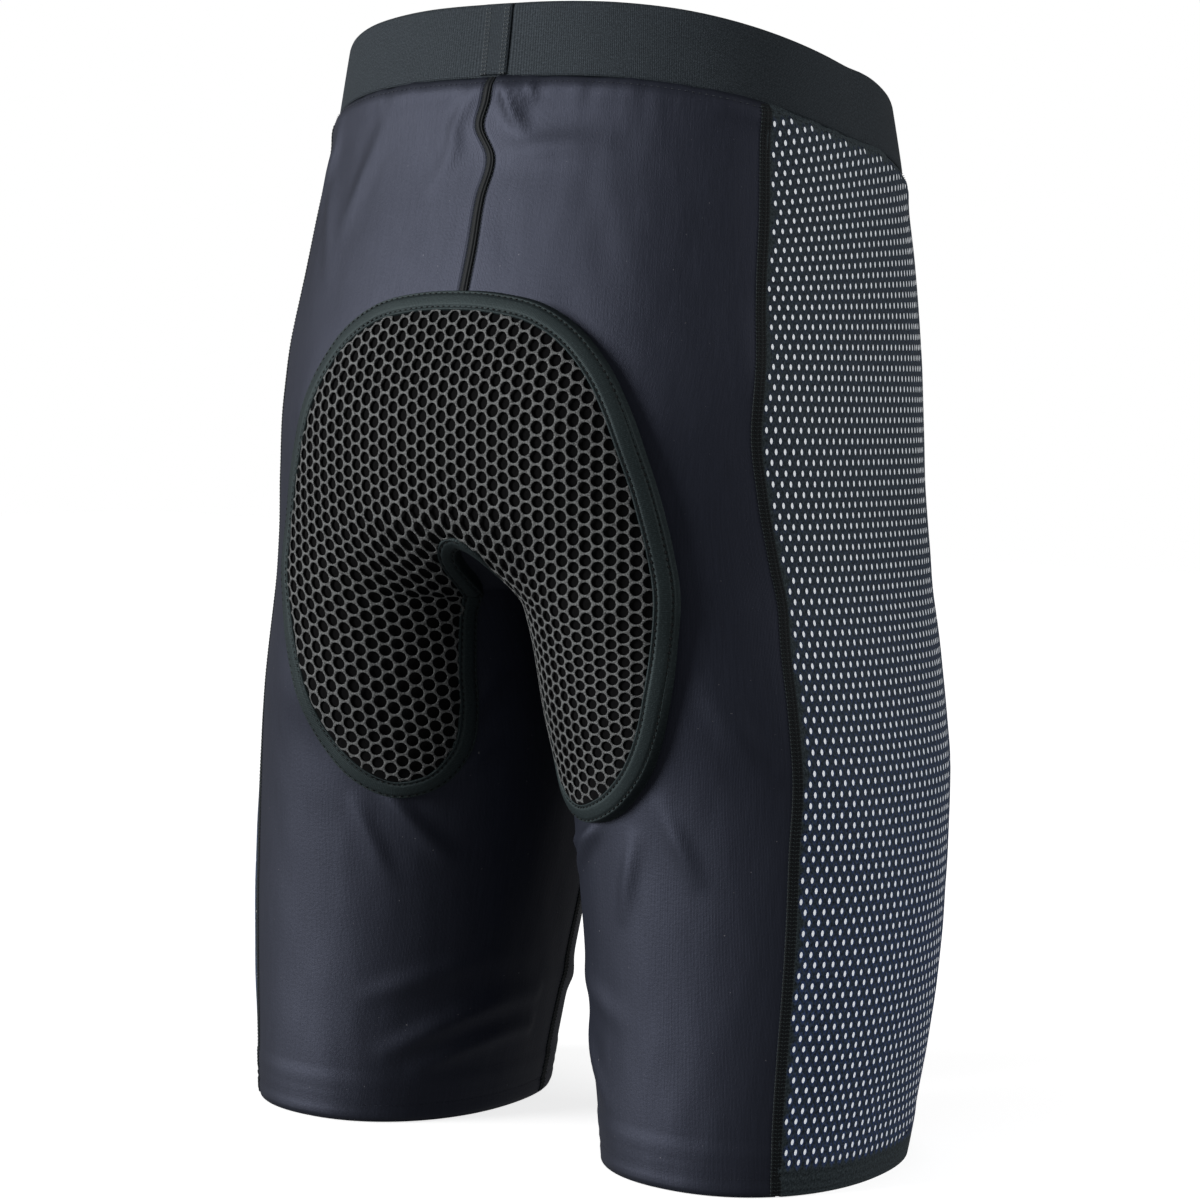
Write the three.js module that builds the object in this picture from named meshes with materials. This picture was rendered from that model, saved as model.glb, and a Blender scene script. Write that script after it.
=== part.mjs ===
// Padded impact shorts for skiing and snowboarding, as they sit on the body.
// Millimetres, +Z up. The wearer faces -Y, so the back and its tail pad face +Y and the
// wearer's right leg is at -X. The origin is on the ground, under the middle of the shorts.
//
// Everything is laid on one body form. A place on one half of it is (t, z): z is the height
// and t runs round the half from centre back (0) over the hip (0.5) to centre front (1).
// Below the crotch the same t runs once round the leg, from the inseam and back to it.
// Pieces are made for the right half and mirrored for the left.
import * as THREE from "three";

// ---- Driving dimensions ------------------------------------------------------------------
const inseam = 255; // hem to crotch
const backRise = 263; // crotch to waist edge at centre back
const frontDrop = 50; // the waist edge is this much lower at centre front
const crotchRound = 40; // height over which the two legs merge into one body
const waistbandHeight = 32;
const hemHeight = 22; // depth of the turned-up hem

// Body girths, from the mid plane x = 0 and the frontal plane y = 0 to the outer face of the
// cloth. leg gives the height as a share of the inseam, rise as a share of the back rise
// above the crotch.
const hem = { leg: 0, outer: 166, inner: 36, back: 94, front: 64 };
const lowThigh = { leg: 0.353, outer: 178, inner: 20, back: 91, front: 72 };
const thigh = { leg: 0.706, outer: 174, inner: 8, back: 96, front: 92 };
const crotch = { leg: 1, outer: 158, inner: 0, back: 114, front: 111 };
const seat = { rise: 0.247, outer: 152, inner: 0, back: 125, front: 113 };
const hip = { rise: 0.51, outer: 145, inner: 0, back: 116, front: 112 };
const lowWaist = { rise: 0.738, outer: 137, inner: 0, back: 102, front: 104 };
const waist = { rise: 1, outer: 124, inner: 0, back: 94, front: 90 };
const legSquareness = 2.15; // superellipse exponents: 2 is a plain ellipse
const bodySquareness = 2.6;
const sectionBlend = 60; // height over which a leg's section becomes the body's

// Cloth and foam thicknesses.
const cloth = 1.0;
const elastic = 2.0;
const seamTape = { width: 6, thickness: 0.8 };
const sidePadFoam = 5;
const sidePadLining = 0.8;
const tailBacking = 0.8;
const tailFoam = { edge: 1.8, crown: 4 };
const tailMesh = 1.2;
const binding = { width: 11, outerHeight: 3.2, innerHeight: 5.2 };
const label = { width: 34, height: 42, thickness: 0.4 };
const joinTab = { width: 15, thickness: 0.6 };

// Clearances: between touching pieces, and between layers whose facets differ.
const edgeGap = 0.3;
const layerGap = 1.2;
const underTailPad = 2.2;

// Side panel seams, as t at a few heights: the cloth panels end and the side mesh begins.
const backSeam = [
  { leg: 0, t: 0.371 },
  { leg: 0.157, t: 0.358 },
  { leg: 0.384, t: 0.358 },
  { leg: 0.667, t: 0.369 },
  { leg: 0.831, t: 0.381 },
  { leg: 0.922, t: 0.386 },
  { leg: 1, t: 0.389 },
  { rise: 0.087, t: 0.383 },
  { rise: 0.183, t: 0.366 },
  { rise: 0.255, t: 0.351 },
  { rise: 0.369, t: 0.325 },
  { rise: 0.483, t: 0.315 },
  { rise: 0.665, t: 0.321 },
  { rise: 1, t: 0.333 },
];
const frontSeam = [
  { leg: 0, t: 0.675 },
  { leg: 0.384, t: 0.67 },
  { leg: 0.706, t: 0.656 },
  { leg: 0.922, t: 0.651 },
  { leg: 1, t: 0.65 },
  { rise: 0.114, t: 0.658 },
  { rise: 0.255, t: 0.674 },
  { rise: 0.369, t: 0.689 },
  { rise: 0.494, t: 0.701 },
  { rise: 1, t: 0.7 },
];
const inseamForward = 0.05; // the inseam lies this far in front of the inner thigh, in t

// Tail pad, as seen from behind: the right half of its outline, from the top of the arch
// between its two lobes, round the lobe's tip and up to the top. Shares of its half width
// and of its height.
const tailPad = { halfWidth: 107, height: 233, lobeDrop: 98 };
const tailOutline = [
  [0, 0.53],
  [0.075, 0.51],
  [0.126, 0.46],
  [0.182, 0.385],
  [0.21, 0.28],
  [0.224, 0.185],
  [0.271, 0.09],
  [0.364, 0.025],
  [0.514, 0],
  [0.682, 0.028],
  [0.832, 0.1],
  [0.925, 0.185],
  [0.972, 0.275],
  [0.995, 0.37],
  [1, 0.45],
  [0.967, 0.54],
  [0.925, 0.625],
  [0.874, 0.705],
  [0.804, 0.79],
  [0.71, 0.865],
  [0.579, 0.93],
  [0.411, 0.975],
  [0.206, 0.995],
];

// ---- The body form -----------------------------------------------------------------------
const { clamp, lerp, smoothstep } = THREE.MathUtils;
const heightOf = (row) => ("leg" in row ? row.leg * inseam : inseam + row.rise * backRise);
const girths = [hem, lowThigh, thigh, crotch, seat, hip, lowWaist, waist];

// The value of one column of a table at height z, on a smooth curve through its rows.
function through(rows, column, z) {
  const n = rows.length - 1;
  const at = (i) => heightOf(rows[clamp(i, 0, n)]);
  const value = (i) => rows[clamp(i, 0, n)][column];
  const slope = (i) => (value(i + 1) - value(i - 1)) / (at(i + 1) - at(i - 1));
  let i = 0;
  while (i < n - 1 && z > at(i + 1)) i++;
  const span = at(i + 1) - at(i);
  const s = (z - at(i)) / span;
  const rest = 1 - s;
  return (
    value(i) * rest * rest * (1 + 2 * s) +
    value(i + 1) * s * s * (3 - 2 * s) +
    span * (slope(i) * s * rest * rest - slope(i + 1) * s * s * rest)
  );
}

const bow = (v, squareness) => Math.sign(v) * Math.abs(v) ** (2 / squareness);
const arch = (v, squareness) => Math.max(0, 1 - Math.abs(v) ** squareness) ** (1 / squareness);
// The larger of two shares from 0 to 1, with the edge where they are equal rounded off.
const softUnion = (a, b) => (1 - (1 - a ** 3) * (1 - b ** 3)) ** (1 / 3);

// A point of the cloth's outer face on the right half. Each leg's section is a superellipse,
// and so is the body's. The valley between the legs fills in over crotchRound, and the outer
// sides change from one section to the other over sectionBlend, above and below the crotch.
function formPoint(t, z) {
  const [outer, back, front] = ["outer", "back", "front"].map((c) => through(girths, c, z));
  const inner = z < inseam ? Math.max(0, through(girths, "inner", z)) : 0;
  const middle = (outer + inner) / 2;
  const half = (outer - inner) / 2;
  const legX = middle - half * bow(Math.cos(2 * Math.PI * t), legSquareness);
  const bodyX = outer * bow(Math.sin(Math.PI * t), bodySquareness);
  const x = lerp(legX, bodyX, smoothstep(z, inseam, inseam + 2 * sectionBlend));
  const above = clamp((z - inseam) / crotchRound, 0, 1);
  const filled = Math.sqrt(1 - (1 - above) ** 2);
  const leg = arch((x - middle) / half, legSquareness);
  const body = arch(x / outer, bodySquareness);
  const bodily = smoothstep(z, inseam - sectionBlend, inseam + sectionBlend);
  const joined = softUnion(leg, filled) * lerp(1, body, bodily);
  const share = x < middle ? joined : lerp(leg, body, bodily);
  const facing = Math.sign(z < inseam ? Math.sin(2 * Math.PI * t) : Math.cos(Math.PI * t));
  return new THREE.Vector3(-x, (back - front) / 2 + (facing * share * (back + front)) / 2, z);
}

// The form's tangents and outward normal at a point.
function formFrame(t, z) {
  const step = 0.002;
  const lift = 0.5;
  const onBody = (share) => (z < inseam ? share : clamp(share, 0, 1));
  const before = onBody(t - step);
  const after = onBody(t + step);
  const round = formPoint(after, z).sub(formPoint(before, z)).divideScalar(after - before);
  const up = formPoint(t, z + lift).sub(formPoint(t, z - lift)).divideScalar(2 * lift);
  const normal = round.clone().cross(up).normalize();
  return { round, up, normal };
}

// A point that lies `out` off the cloth's outer face and `aside` along it, on the right half.
// The hems are cut level, so that both legs stand on the ground.
function onForm(t, z, out = 0, aside = 0) {
  const shifted = aside ? t + aside / formFrame(t, z).round.length() : t;
  const p = formPoint(shifted, z).addScaledVector(formFrame(shifted, z).normal, out);
  if (z === 0) p.z = 0;
  return p;
}

const waistEdge = (t) => inseam + backRise - (frontDrop * (1 - Math.cos(Math.PI * t))) / 2;
const waistSeam = (t) => waistEdge(t) - waistbandHeight;
const inseamAt = (z) => -inseamForward * clamp((inseam - z) / (0.25 * inseam), 0, 1);

// ---- Making solids -----------------------------------------------------------------------
// A slab of cells bent into place: place(u, v, w) gives the point for shares of its length,
// height and thickness.
function bent(cellsAlong, cellsUp, place) {
  const slab = new THREE.BoxGeometry(1, 1, 1, cellsAlong, cellsUp, 1);
  const at = slab.attributes.position;
  for (let i = 0; i < at.count; i++) {
    const p = place(at.getX(i) + 0.5, at.getY(i) + 0.5, at.getZ(i) + 0.5);
    at.setXYZ(i, p.x, p.y, p.z);
  }
  // The inner face is split along the same diagonals as the outer one, so that layers nest.
  const corners = slab.index;
  const innerFace = slab.groups.at(-1);
  for (let i = innerFace.start; i < innerFace.start + innerFace.count; i += 6) {
    const [a, b, d] = [0, 1, 2].map((k) => corners.getX(i + k));
    const c = corners.getX(i + 4);
    [a, b, c, a, c, d].forEach((corner, k) => corners.setX(i + k, corner));
  }
  return slab;
}

// A closed loop: its section is a rectangle of `across` by `out`, and place(share, a, o)
// gives the point for a share of the way round and a place in that section.
function loop(segments, across, out, place) {
  const section = [
    [out[1], across[0]],
    [out[1], across[1]],
    [out[0], across[1]],
    [out[0], across[0]],
    [out[1], across[0]],
  ].map(([o, a]) => new THREE.Vector2(o, a));
  const turned = new THREE.LatheGeometry(section, segments);
  const { position, uv } = turned.attributes;
  for (let i = 0; i < position.count; i++) {
    const corner = section[Math.round(uv.getY(i) * (section.length - 1))];
    const p = place(uv.getX(i) % 1, corner.y, corner.x);
    position.setXYZ(i, p.x, p.y, p.z);
  }
  return turned;
}

// Row heights that every panel shares: evenly up the leg, closer where the legs merge, and
// evenly again up to `top`. Panels and the layers behind them nest, facet on facet.
const legRows = 7;
const mergeRows = 4;
const bodyRows = 5;
const panelRows = legRows + mergeRows + bodyRows;
function rowHeight(row, top) {
  if (row <= legRows) return (inseam * row) / legRows;
  if (row <= legRows + mergeRows) {
    const turn = ((row - legRows) / mergeRows) * (Math.PI / 2);
    return inseam + crotchRound * (1 - Math.cos(turn));
  }
  return lerp(inseam + crotchRound, top, (row - legRows - mergeRows) / bodyRows);
}

// The height and t of a row on a line that runs up the shorts, ending topGap below the band.
function rowOnLine(row, line, topGap) {
  let t = 0.5;
  let z = 0;
  for (let pass = 0; pass < 3; pass++) {
    z = rowHeight(row, waistSeam(t) - topGap);
    t = line(z);
  }
  return { t, z };
}

// A panel between two edges, given as t at a height, from one layer height to another. Its
// inner columns can start a margin in from each edge. A layer behind it can stop short.
function panel(columns, from, to, layer, { margin, firstRow = 0, topGap = edgeGap } = {}) {
  const rows = panelRows - firstRow;
  return bent(columns, rows, (u, v, w) => {
    const inner = (Math.round(u * columns) - 1) / (columns - 2);
    const across = margin && inner >= 0 && inner <= 1 ? lerp(margin, 1 - margin, inner) : u;
    const line = (height) => lerp(from(height), to(height), across);
    const { t, z } = rowOnLine(Math.round(firstRow + v * rows), line, topGap);
    const aside = u === 0 ? edgeGap / 2 : u === 1 ? -edgeGap / 2 : 0;
    const p = onForm(t, z, lerp(layer[0], layer[1], w), aside);
    p.x = Math.min(p.x, -edgeGap / 2);
    return p;
  });
}

// A flat tape that follows a line of t at a height, on the outside of the cloth.
const seamLift = 0.5;
function tapeAlong(line, firstRow, lastRow) {
  return bent(1, lastRow - firstRow, (u, v, w) => {
    const row = Math.round(firstRow + v * (lastRow - firstRow));
    const { t, z } = rowOnLine(row, line, edgeGap);
    return onForm(t, z, seamLift + w * seamTape.thickness, (u - 0.5) * seamTape.width);
  });
}

// The same on the centre line, where the tape lies across both halves.
function centreTape(t, firstRow, lastRow) {
  const right = t === 0 ? 1 : -1;
  return bent(1, lastRow - firstRow, (u, v, w) => {
    const { z } = rowOnLine(Math.round(firstRow + v * (lastRow - firstRow)), () => t, edgeGap);
    const p = onForm(t, z, seamLift + w * seamTape.thickness);
    p.x = right * (0.5 - u) * seamTape.width;
    return p;
  });
}

// ---- The tail pad's outline and how it is laid on the seat ---------------------------------
const tailBottom = inseam - tailPad.lobeDrop;
const outlinePoint = ([x, up], side) =>
  new THREE.Vector3(side * x * tailPad.halfWidth, tailBottom + up * tailPad.height, 0);
const tailTop = [0, 1];
const tailCurve = new THREE.CatmullRomCurve3(
  [
    ...tailOutline.map((p) => outlinePoint(p, -1)),
    outlinePoint(tailTop, 1),
    ...tailOutline.slice(1).reverse().map((p) => outlinePoint(p, 1)),
  ],
  true,
  "centripetal",
);
tailCurve.arcLengthDivisions = 800;

// A point `inset` inside the outline, seen from behind.
function outlineAt(share, inset) {
  const s = ((share % 1) + 1) % 1;
  const p = tailCurve.getPointAt(s);
  const along = tailCurve.getTangentAt(s);
  return new THREE.Vector2(p.x + along.y * inset, p.y - along.x * inset);
}

// Lays a point that is seen from behind at (x, z) on the seat, `out` off the cloth.
function onSeat(x, z, out) {
  let low = 0;
  let high = 0.5;
  for (let pass = 0; pass < 30; pass++) {
    const t = (low + high) / 2;
    if (-formPoint(t, z).x < Math.abs(x)) low = t;
    else high = t;
  }
  const p = onForm(low, z, out);
  if (x > 0) p.x = -p.x;
  if (Math.abs(x) < 1e-6) p.x = 0;
  return p;
}

const tipShare = 0.158; // share of the outline from the arch's top to the lobe's tip
const tipCut = 0.02; // the padding stops this short of each tip
const padCells = { along: 34, across: 5 };
const padInset = binding.width + layerGap;
// A layer of the pad inside the binding. Its two faces lie these far off the cloth, given for
// the pad's edge and its crown.
function padLayer(under, over) {
  return bent(padCells.along, padCells.across, (u, v, w) => {
    const along = lerp(1 - tipCut, tipCut, u);
    const inner = outlineAt(tipShare * (1 - 2 * along), padInset);
    const outer = outlineAt(tipShare + (1 - 2 * tipShare) * along, padInset);
    const p = inner.lerp(outer, v);
    const crown = Math.sqrt(4 * v * (1 - v) * (1 - (2 * along - 1) ** 8));
    const face = (heights) => lerp(heights.edge, heights.crown, crown);
    return onSeat(p.x, p.y, lerp(face(under), face(over), w));
  });
}

// ---- Materials ---------------------------------------------------------------------------
const finish = (color, roughness, metalness = 0) =>
  new THREE.MeshStandardMaterial({ color, roughness, metalness });
const bodyCloth = finish(0x2b2d38, 0.6);
const meshCloth = finish(0x1c2530, 0.75);
const elasticCloth = finish(0x30363c, 0.85);
const threadBlack = finish(0x1a1d1f, 0.7);
const bindingCloth = finish(0x2c3434, 0.8);
const spacerMesh = finish(0x3c3d3c, 0.7);
const darkFoam = finish(0x0c0c0d, 0.95);
const paleFoam = finish(0xe6e9ea, 0.9);
const labelCloth = finish(0xe2e2df, 0.8);

// ---- The pieces --------------------------------------------------------------------------
const shorts = new THREE.Group();
function add(name, geometry, material) {
  const mesh = new THREE.Mesh(geometry, material);
  mesh.name = name;
  shorts.add(mesh);
  return mesh;
}
function addPair(name, geometry, material) {
  add(`${name}_right`, geometry, material);
  add(`${name}_left`, geometry, material).scale.x = -1;
}

// Body panels: nylon back and front, open-knit mesh over each hip and outer thigh.
const clothLayer = [-cloth, 0];
const backEdge = (z) => through(backSeam, "t", z);
const frontEdge = (z) => through(frontSeam, "t", z);
const frontInseam = (z) => 1 + inseamAt(z);
const padMargin = 0.04; // from seam to side pad, as a share of the side panel's width
const padColumns = 8;
addPair("back_panel", panel(12, inseamAt, backEdge, clothLayer), bodyCloth);
addPair(
  "side_mesh_panel",
  panel(padColumns + 2, backEdge, frontEdge, clothLayer, { margin: padMargin }),
  meshCloth,
);
addPair("front_panel", panel(8, frontEdge, frontInseam, clothLayer), bodyCloth);

// Hip and thigh padding: a thin perforated foam sheet behind the mesh, and its lining.
const padShape = { firstRow: 1, topGap: 14 };
const foamTop = -cloth - edgeGap;
const foamLayer = [foamTop - sidePadFoam, foamTop];
const liningTop = foamLayer[0] - edgeGap;
const liningLayer = [liningTop - sidePadLining, liningTop];
const padEdge = (share) => (z) => lerp(backEdge(z), frontEdge(z), share);
const behind = (layer) =>
  panel(padColumns, padEdge(padMargin), padEdge(1 - padMargin), layer, padShape);
addPair("side_pad_foam", behind(foamLayer), paleFoam);
addPair("side_pad_lining", behind(liningLayer), meshCloth);

// Hems: the lower edge of each leg, turned up inside.
const facingTop = -cloth - layerGap;
addPair(
  "hem_facing",
  loop(40, [0, hemHeight], [facingTop - cloth, facingTop], onForm),
  bodyCloth,
);

// Seams: flat stretch stitching laid over the joint of two panels.
addPair("side_seam_back", tapeAlong(backEdge, 0, panelRows), threadBlack);
addPair("side_seam_front", tapeAlong(frontEdge, 0, panelRows), threadBlack);
addPair("inseam", tapeAlong(frontInseam, 0, legRows - 1), threadBlack);
add("centre_back_seam", centreTape(0, legRows + mergeRows, panelRows), threadBlack);
add("centre_front_seam", centreTape(1, legRows + mergeRows, panelRows), threadBlack);

// Waistband: one loop of wide elastic, lapped and sewn at centre back.
const bandTop = -0.5;
function onWaist(share, up, out) {
  const left = share > 0.5;
  const t = left ? 2 - 2 * share : 2 * share;
  const p = onForm(t, waistSeam(t) + up, out);
  if (left) p.x = -p.x;
  if (t === 0 || t === 1) p.x = 0;
  return p;
}
add("waistband", loop(48, [0, waistbandHeight], [bandTop - elastic, bandTop], onWaist), elasticCloth);
add(
  "waistband_join",
  bent(2, 2, (u, v, w) => {
    const out = bandTop + edgeGap + w * joinTab.thickness;
    const p = onForm(0, waistSeam(0) + v * waistbandHeight, out);
    p.x = (0.5 - u) * joinTab.width;
    return p;
  }),
  elasticCloth,
);

// Blank care label, sewn inside at centre back below the waistband.
add(
  "care_label",
  bent(3, 2, (u, v, w) => {
    const z = waistSeam(0) - edgeGap - (1 - v) * label.height;
    const p = onForm(0, z, -cloth - layerGap - (1 - w) * label.thickness);
    p.x = (0.5 - u) * label.width;
    return p;
  }),
  labelCloth,
);

// Tail pad: backing, foam and open honeycomb spacer mesh, framed by a sewn-on binding.
const even = (height) => ({ edge: height, crown: height });
const raised = (heights, by) => ({ edge: heights.edge + by, crown: heights.crown + by });
const backingUnder = even(seamLift + seamTape.thickness + underTailPad);
const backingOver = raised(backingUnder, tailBacking);
const foamUnder = raised(backingOver, edgeGap);
const foamOver = { edge: foamUnder.edge + tailFoam.edge, crown: foamUnder.crown + tailFoam.crown };
const meshUnder = raised(foamOver, edgeGap);
add("tail_pad_backing", padLayer(backingUnder, backingOver), bodyCloth);
add("tail_pad_foam", padLayer(foamUnder, foamOver), darkFoam);
add("tail_pad_mesh", padLayer(meshUnder, raised(meshUnder, tailMesh)), spacerMesh);
add(
  "tail_pad_binding",
  loop(96, [0, binding.width], [0, 1], (share, inset, w) => {
    const p = outlineAt(share, inset);
    const height = lerp(binding.outerHeight, binding.innerHeight, inset / binding.width);
    return onSeat(p.x, p.y, backingUnder.edge + w * height);
  }),
  bindingCloth,
);

// The origin goes midway between front and back.
const extent = new THREE.Box3().setFromObject(shorts);
for (const piece of shorts.children) piece.position.y = -(extent.min.y + extent.max.y) / 2;

export default shorts;
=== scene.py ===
# %% [markdown]
# # Padded impact shorts
#
# Close-fitting under-shorts for skiing and snowboarding, standing as they sit on the body.
# The wearer faces -Y, so the back and its tail pad face +Y, and the wearer's right leg is
# at -X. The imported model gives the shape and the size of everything. This lesson lays cloth,
# mesh, padding, seams and stitches over it, and gives each its finish.

# %% Load the frame
import math

import bmesh
import bpy
import numpy as np
from mathutils import Matrix, Vector, noise


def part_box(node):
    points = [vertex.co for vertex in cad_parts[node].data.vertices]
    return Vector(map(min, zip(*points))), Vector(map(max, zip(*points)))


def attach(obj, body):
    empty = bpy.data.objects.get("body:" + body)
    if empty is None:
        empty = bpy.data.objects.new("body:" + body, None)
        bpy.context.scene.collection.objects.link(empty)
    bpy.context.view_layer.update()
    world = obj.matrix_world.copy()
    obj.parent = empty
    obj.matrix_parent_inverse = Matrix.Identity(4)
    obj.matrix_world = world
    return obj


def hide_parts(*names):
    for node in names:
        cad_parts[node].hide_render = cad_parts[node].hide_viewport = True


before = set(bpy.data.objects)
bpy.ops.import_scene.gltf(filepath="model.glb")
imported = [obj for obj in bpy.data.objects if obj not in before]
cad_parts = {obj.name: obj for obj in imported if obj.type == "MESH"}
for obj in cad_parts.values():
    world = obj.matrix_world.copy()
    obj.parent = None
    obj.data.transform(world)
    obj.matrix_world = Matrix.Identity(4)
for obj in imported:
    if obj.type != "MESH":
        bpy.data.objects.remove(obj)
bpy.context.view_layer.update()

mm = 0.001
print("the frame has", len(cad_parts), "nodes")

# %% [markdown]
# ## The body form
#
# Every piece of the shorts lies on one smooth surface: the body they are stretched over. The
# shape could be guessed, or each new piece could be shrink-wrapped on its faceted solid. Here
# the surface is measured instead. The solids are cut level at a row of heights, each cut
# gives the girth there, and a smooth curve joins the girths. A place on the surface is then
# a share t of the way round a leg or the body (0 at centre back, 0.5 at the side, 1 at
# centre front) and a height z, and any cloth can be laid on it at any fineness.

# %% Cut the panels at a row of heights
def copy_of(*names):
    """One merged bmesh of some of the frame's nodes, free to be cut."""
    whole = bmesh.new()
    for name in names:
        whole.from_mesh(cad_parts[name].data)
    bmesh.ops.remove_doubles(whole, verts=whole.verts, dist=0.01 * mm)
    return whole


def cut_at(whole, height):
    """The points where a level plane cuts a bmesh."""
    sliced = whole.copy()
    everything = sliced.verts[:] + sliced.edges[:] + sliced.faces[:]
    cut = bmesh.ops.bisect_plane(
        sliced, geom=everything, plane_co=(0, 0, height), plane_no=(0, 0, 1)
    )["geom_cut"]
    points = [v.co[:] for v in cut if isinstance(v, bmesh.types.BMVert)]
    sliced.free()
    return np.array(points).reshape(-1, 3)


panels = copy_of("back_panel_right", "side_mesh_panel_right", "front_panel_right")
band = copy_of("waistband")
corners = np.array([v.co[:] for v in panels.verts])
crotch = corners[abs(corners[:, 0]) < 0.2 * mm][:, 2].min()
band_corners = np.array([v.co[:] for v in band.verts])
at_back = band_corners[(abs(band_corners[:, 0]) < mm) & (band_corners[:, 1] > 0)]
at_front = band_corners[(abs(band_corners[:, 0]) < mm) & (band_corners[:, 1] < 0)]
waist_back = at_back[:, 2].max()
waist_front = at_front[:, 2].max()
band_height = waist_back - at_back[:, 2].min()
print(f"crotch at {crotch:.3f} m, waist {waist_front:.3f} to {waist_back:.3f} m,",
      f"band {band_height / mm:.0f} mm")

# %% The section of a leg and of the body
leg_squareness = 2.15  # superellipse exponents: 2 is a plain ellipse
body_squareness = 2.6
crotch_round = 40 * mm  # the valley between the legs fills in over this height
section_blend = 60 * mm  # a leg's section turns into the body's over this height, twice


def mix(a, b, share):
    return a + (b - a) * share


def ease(value, low, high):
    share = np.clip((value - low) / (high - low), 0, 1)
    return share * share * (3 - 2 * share)


def bow(value, squareness):
    return np.sign(value) * abs(value) ** (2 / squareness)


def arch(value, squareness):
    return np.maximum(0, 1 - abs(value) ** squareness) ** (1 / squareness)


def soft_union(a, b):
    """The larger of two shares from 0 to 1, with the edge where they are equal rounded."""
    return (1 - (1 - a**3) * (1 - b**3)) ** (1 / 3)


def section(t, z, outer, inner):
    """The distance from the centre plane, and how far out of its own middle plane, from 1 at
    the back to -1 at the front, the form is at t."""
    middle, half = (outer + inner) / 2, (outer - inner) / 2
    leg_x = middle - half * bow(np.cos(2 * np.pi * t), leg_squareness)
    body_x = outer * bow(np.sin(np.pi * t), body_squareness)
    x = mix(leg_x, body_x, ease(z, crotch, crotch + 2 * section_blend))
    above = np.clip((z - crotch) / crotch_round, 0, 1)
    filled = np.sqrt(1 - (1 - above) ** 2)
    leg, body = arch((x - middle) / half, leg_squareness), arch(x / outer, body_squareness)
    bodily = ease(z, crotch - section_blend, crotch + section_blend)
    inside = soft_union(leg, filled) * mix(1, body, bodily)
    share = np.where(x < middle, inside, mix(leg, body, bodily))
    facing = np.where(z < crotch, np.sin(2 * np.pi * t), np.cos(np.pi * t))
    return x, np.sign(facing) * share


# %% The girths, and smooth curves through them
band_depth = 0.5 * mm  # the band's outer face lies this far inside the cloth's


def smooth_through(heights, values, z):
    """A smooth curve through measured values, straight beyond its ends."""
    slopes = np.gradient(values, heights)
    i = np.clip(np.searchsorted(heights, z) - 1, 0, len(heights) - 2)
    span = heights[i + 1] - heights[i]
    s = np.clip((z - heights[i]) / span, 0, 1)
    ends = values[i] * (1 - s) ** 2 * (1 + 2 * s) + values[i + 1] * s * s * (3 - 2 * s)
    bends = span * (slopes[i] * s * (1 - s) ** 2 - slopes[i + 1] * s * s * (1 - s))
    below = np.minimum(z - heights[0], 0) * slopes[0]
    over = np.maximum(z - heights[-1], 0) * slopes[-1]
    return ends + bends + below + over


leg_heights = [0.6 * mm, *np.arange(0.03, crotch - 10 * mm, 0.03), crotch - 6 * mm, crotch]
body_heights = [*np.arange(crotch + 20 * mm, waist_front - 5 * mm, 0.03), waist_front - 3 * mm]
stations = np.array(leg_heights + body_heights)
rows = []
for height in stations:
    on_panels, on_band = cut_at(panels, height), cut_at(band, height)
    if len(on_band):
        reach = np.linalg.norm(on_band[:, :2], axis=1, keepdims=True)
        on_band[:, :2] *= 1 + band_depth / reach
    found = np.concatenate([on_panels, on_band])
    outer = abs(found[:, 0]).max()
    inner = 0 if height >= crotch - mm else abs(on_panels[:, 0]).min()
    high, low = found[:, 1].max(), found[:, 1].min()
    fullest = section(np.linspace(0, 1, 400), height, outer, inner)[1].max()
    rows.append((outer, inner, (high + low) / 2, (high - low) / 2 / fullest))
outers, inners, middles, depths = np.array(rows).T
print("girths at", len(stations), "heights; widest", round(2 * outers.max() / mm), "mm")


def form(t, z):
    """Points of the cloth's outer face, on the wearer's right."""
    t, z = np.broadcast_arrays(np.asarray(t, float), np.asarray(z, float))
    outer = smooth_through(stations, outers, z)
    inner = np.where(z < crotch, np.maximum(0, smooth_through(stations, inners, z)), 0)
    x, out = section(t, z, outer, inner)
    y = smooth_through(stations, middles, z) + smooth_through(stations, depths, z) * out
    return np.stack([-x, y, z], -1)


def tangents(t, z):
    """The way round, the way up and the way out at points of the form."""
    step, lift = 0.002, 0.5 * mm
    before = np.where(z < crotch, t - step, np.clip(t - step, 0, 1))
    after = np.where(z < crotch, t + step, np.clip(t + step, 0, 1))
    around = (form(after, z) - form(before, z)) / (after - before)[..., None]
    up = (form(t, z + lift) - form(t, z - lift)) / (2 * lift)
    out = np.cross(around, up)
    return around, up, out / np.linalg.norm(out, axis=-1, keepdims=True)


def waist_edge(t):
    return waist_back - (waist_back - waist_front) * (1 - np.cos(np.pi * t)) / 2


def waist_seam(t):
    return waist_edge(t) - band_height


# %% [markdown]
# ### The seam lines
#
# The seams run where two panels meet. Their tapes are pieces of the frame, so each tape is
# cut at the same heights, and the middle of the cut says how far round the form it lies.

# %% Measure the seam lines
def nearest_t(point, low=0.0, high=1.0):
    """How far round the form a point of it lies."""
    t = np.linspace(low, high, 1500)
    apart = np.linalg.norm(form(t, point[2]) - point, axis=1)
    return t[apart.argmin()]


def line_of(tape, low=0.0, high=1.0):
    """A seam's t at each height, as a function."""
    whole = copy_of(tape)
    found = []
    for height in stations:
        cut = cut_at(whole, height)
        if len(cut):
            found.append((height, nearest_t(cut.mean(0), low, high)))
    whole.free()
    heights, shares = np.array(found).T
    return lambda z: smooth_through(heights, shares, np.asarray(z, float))


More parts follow.
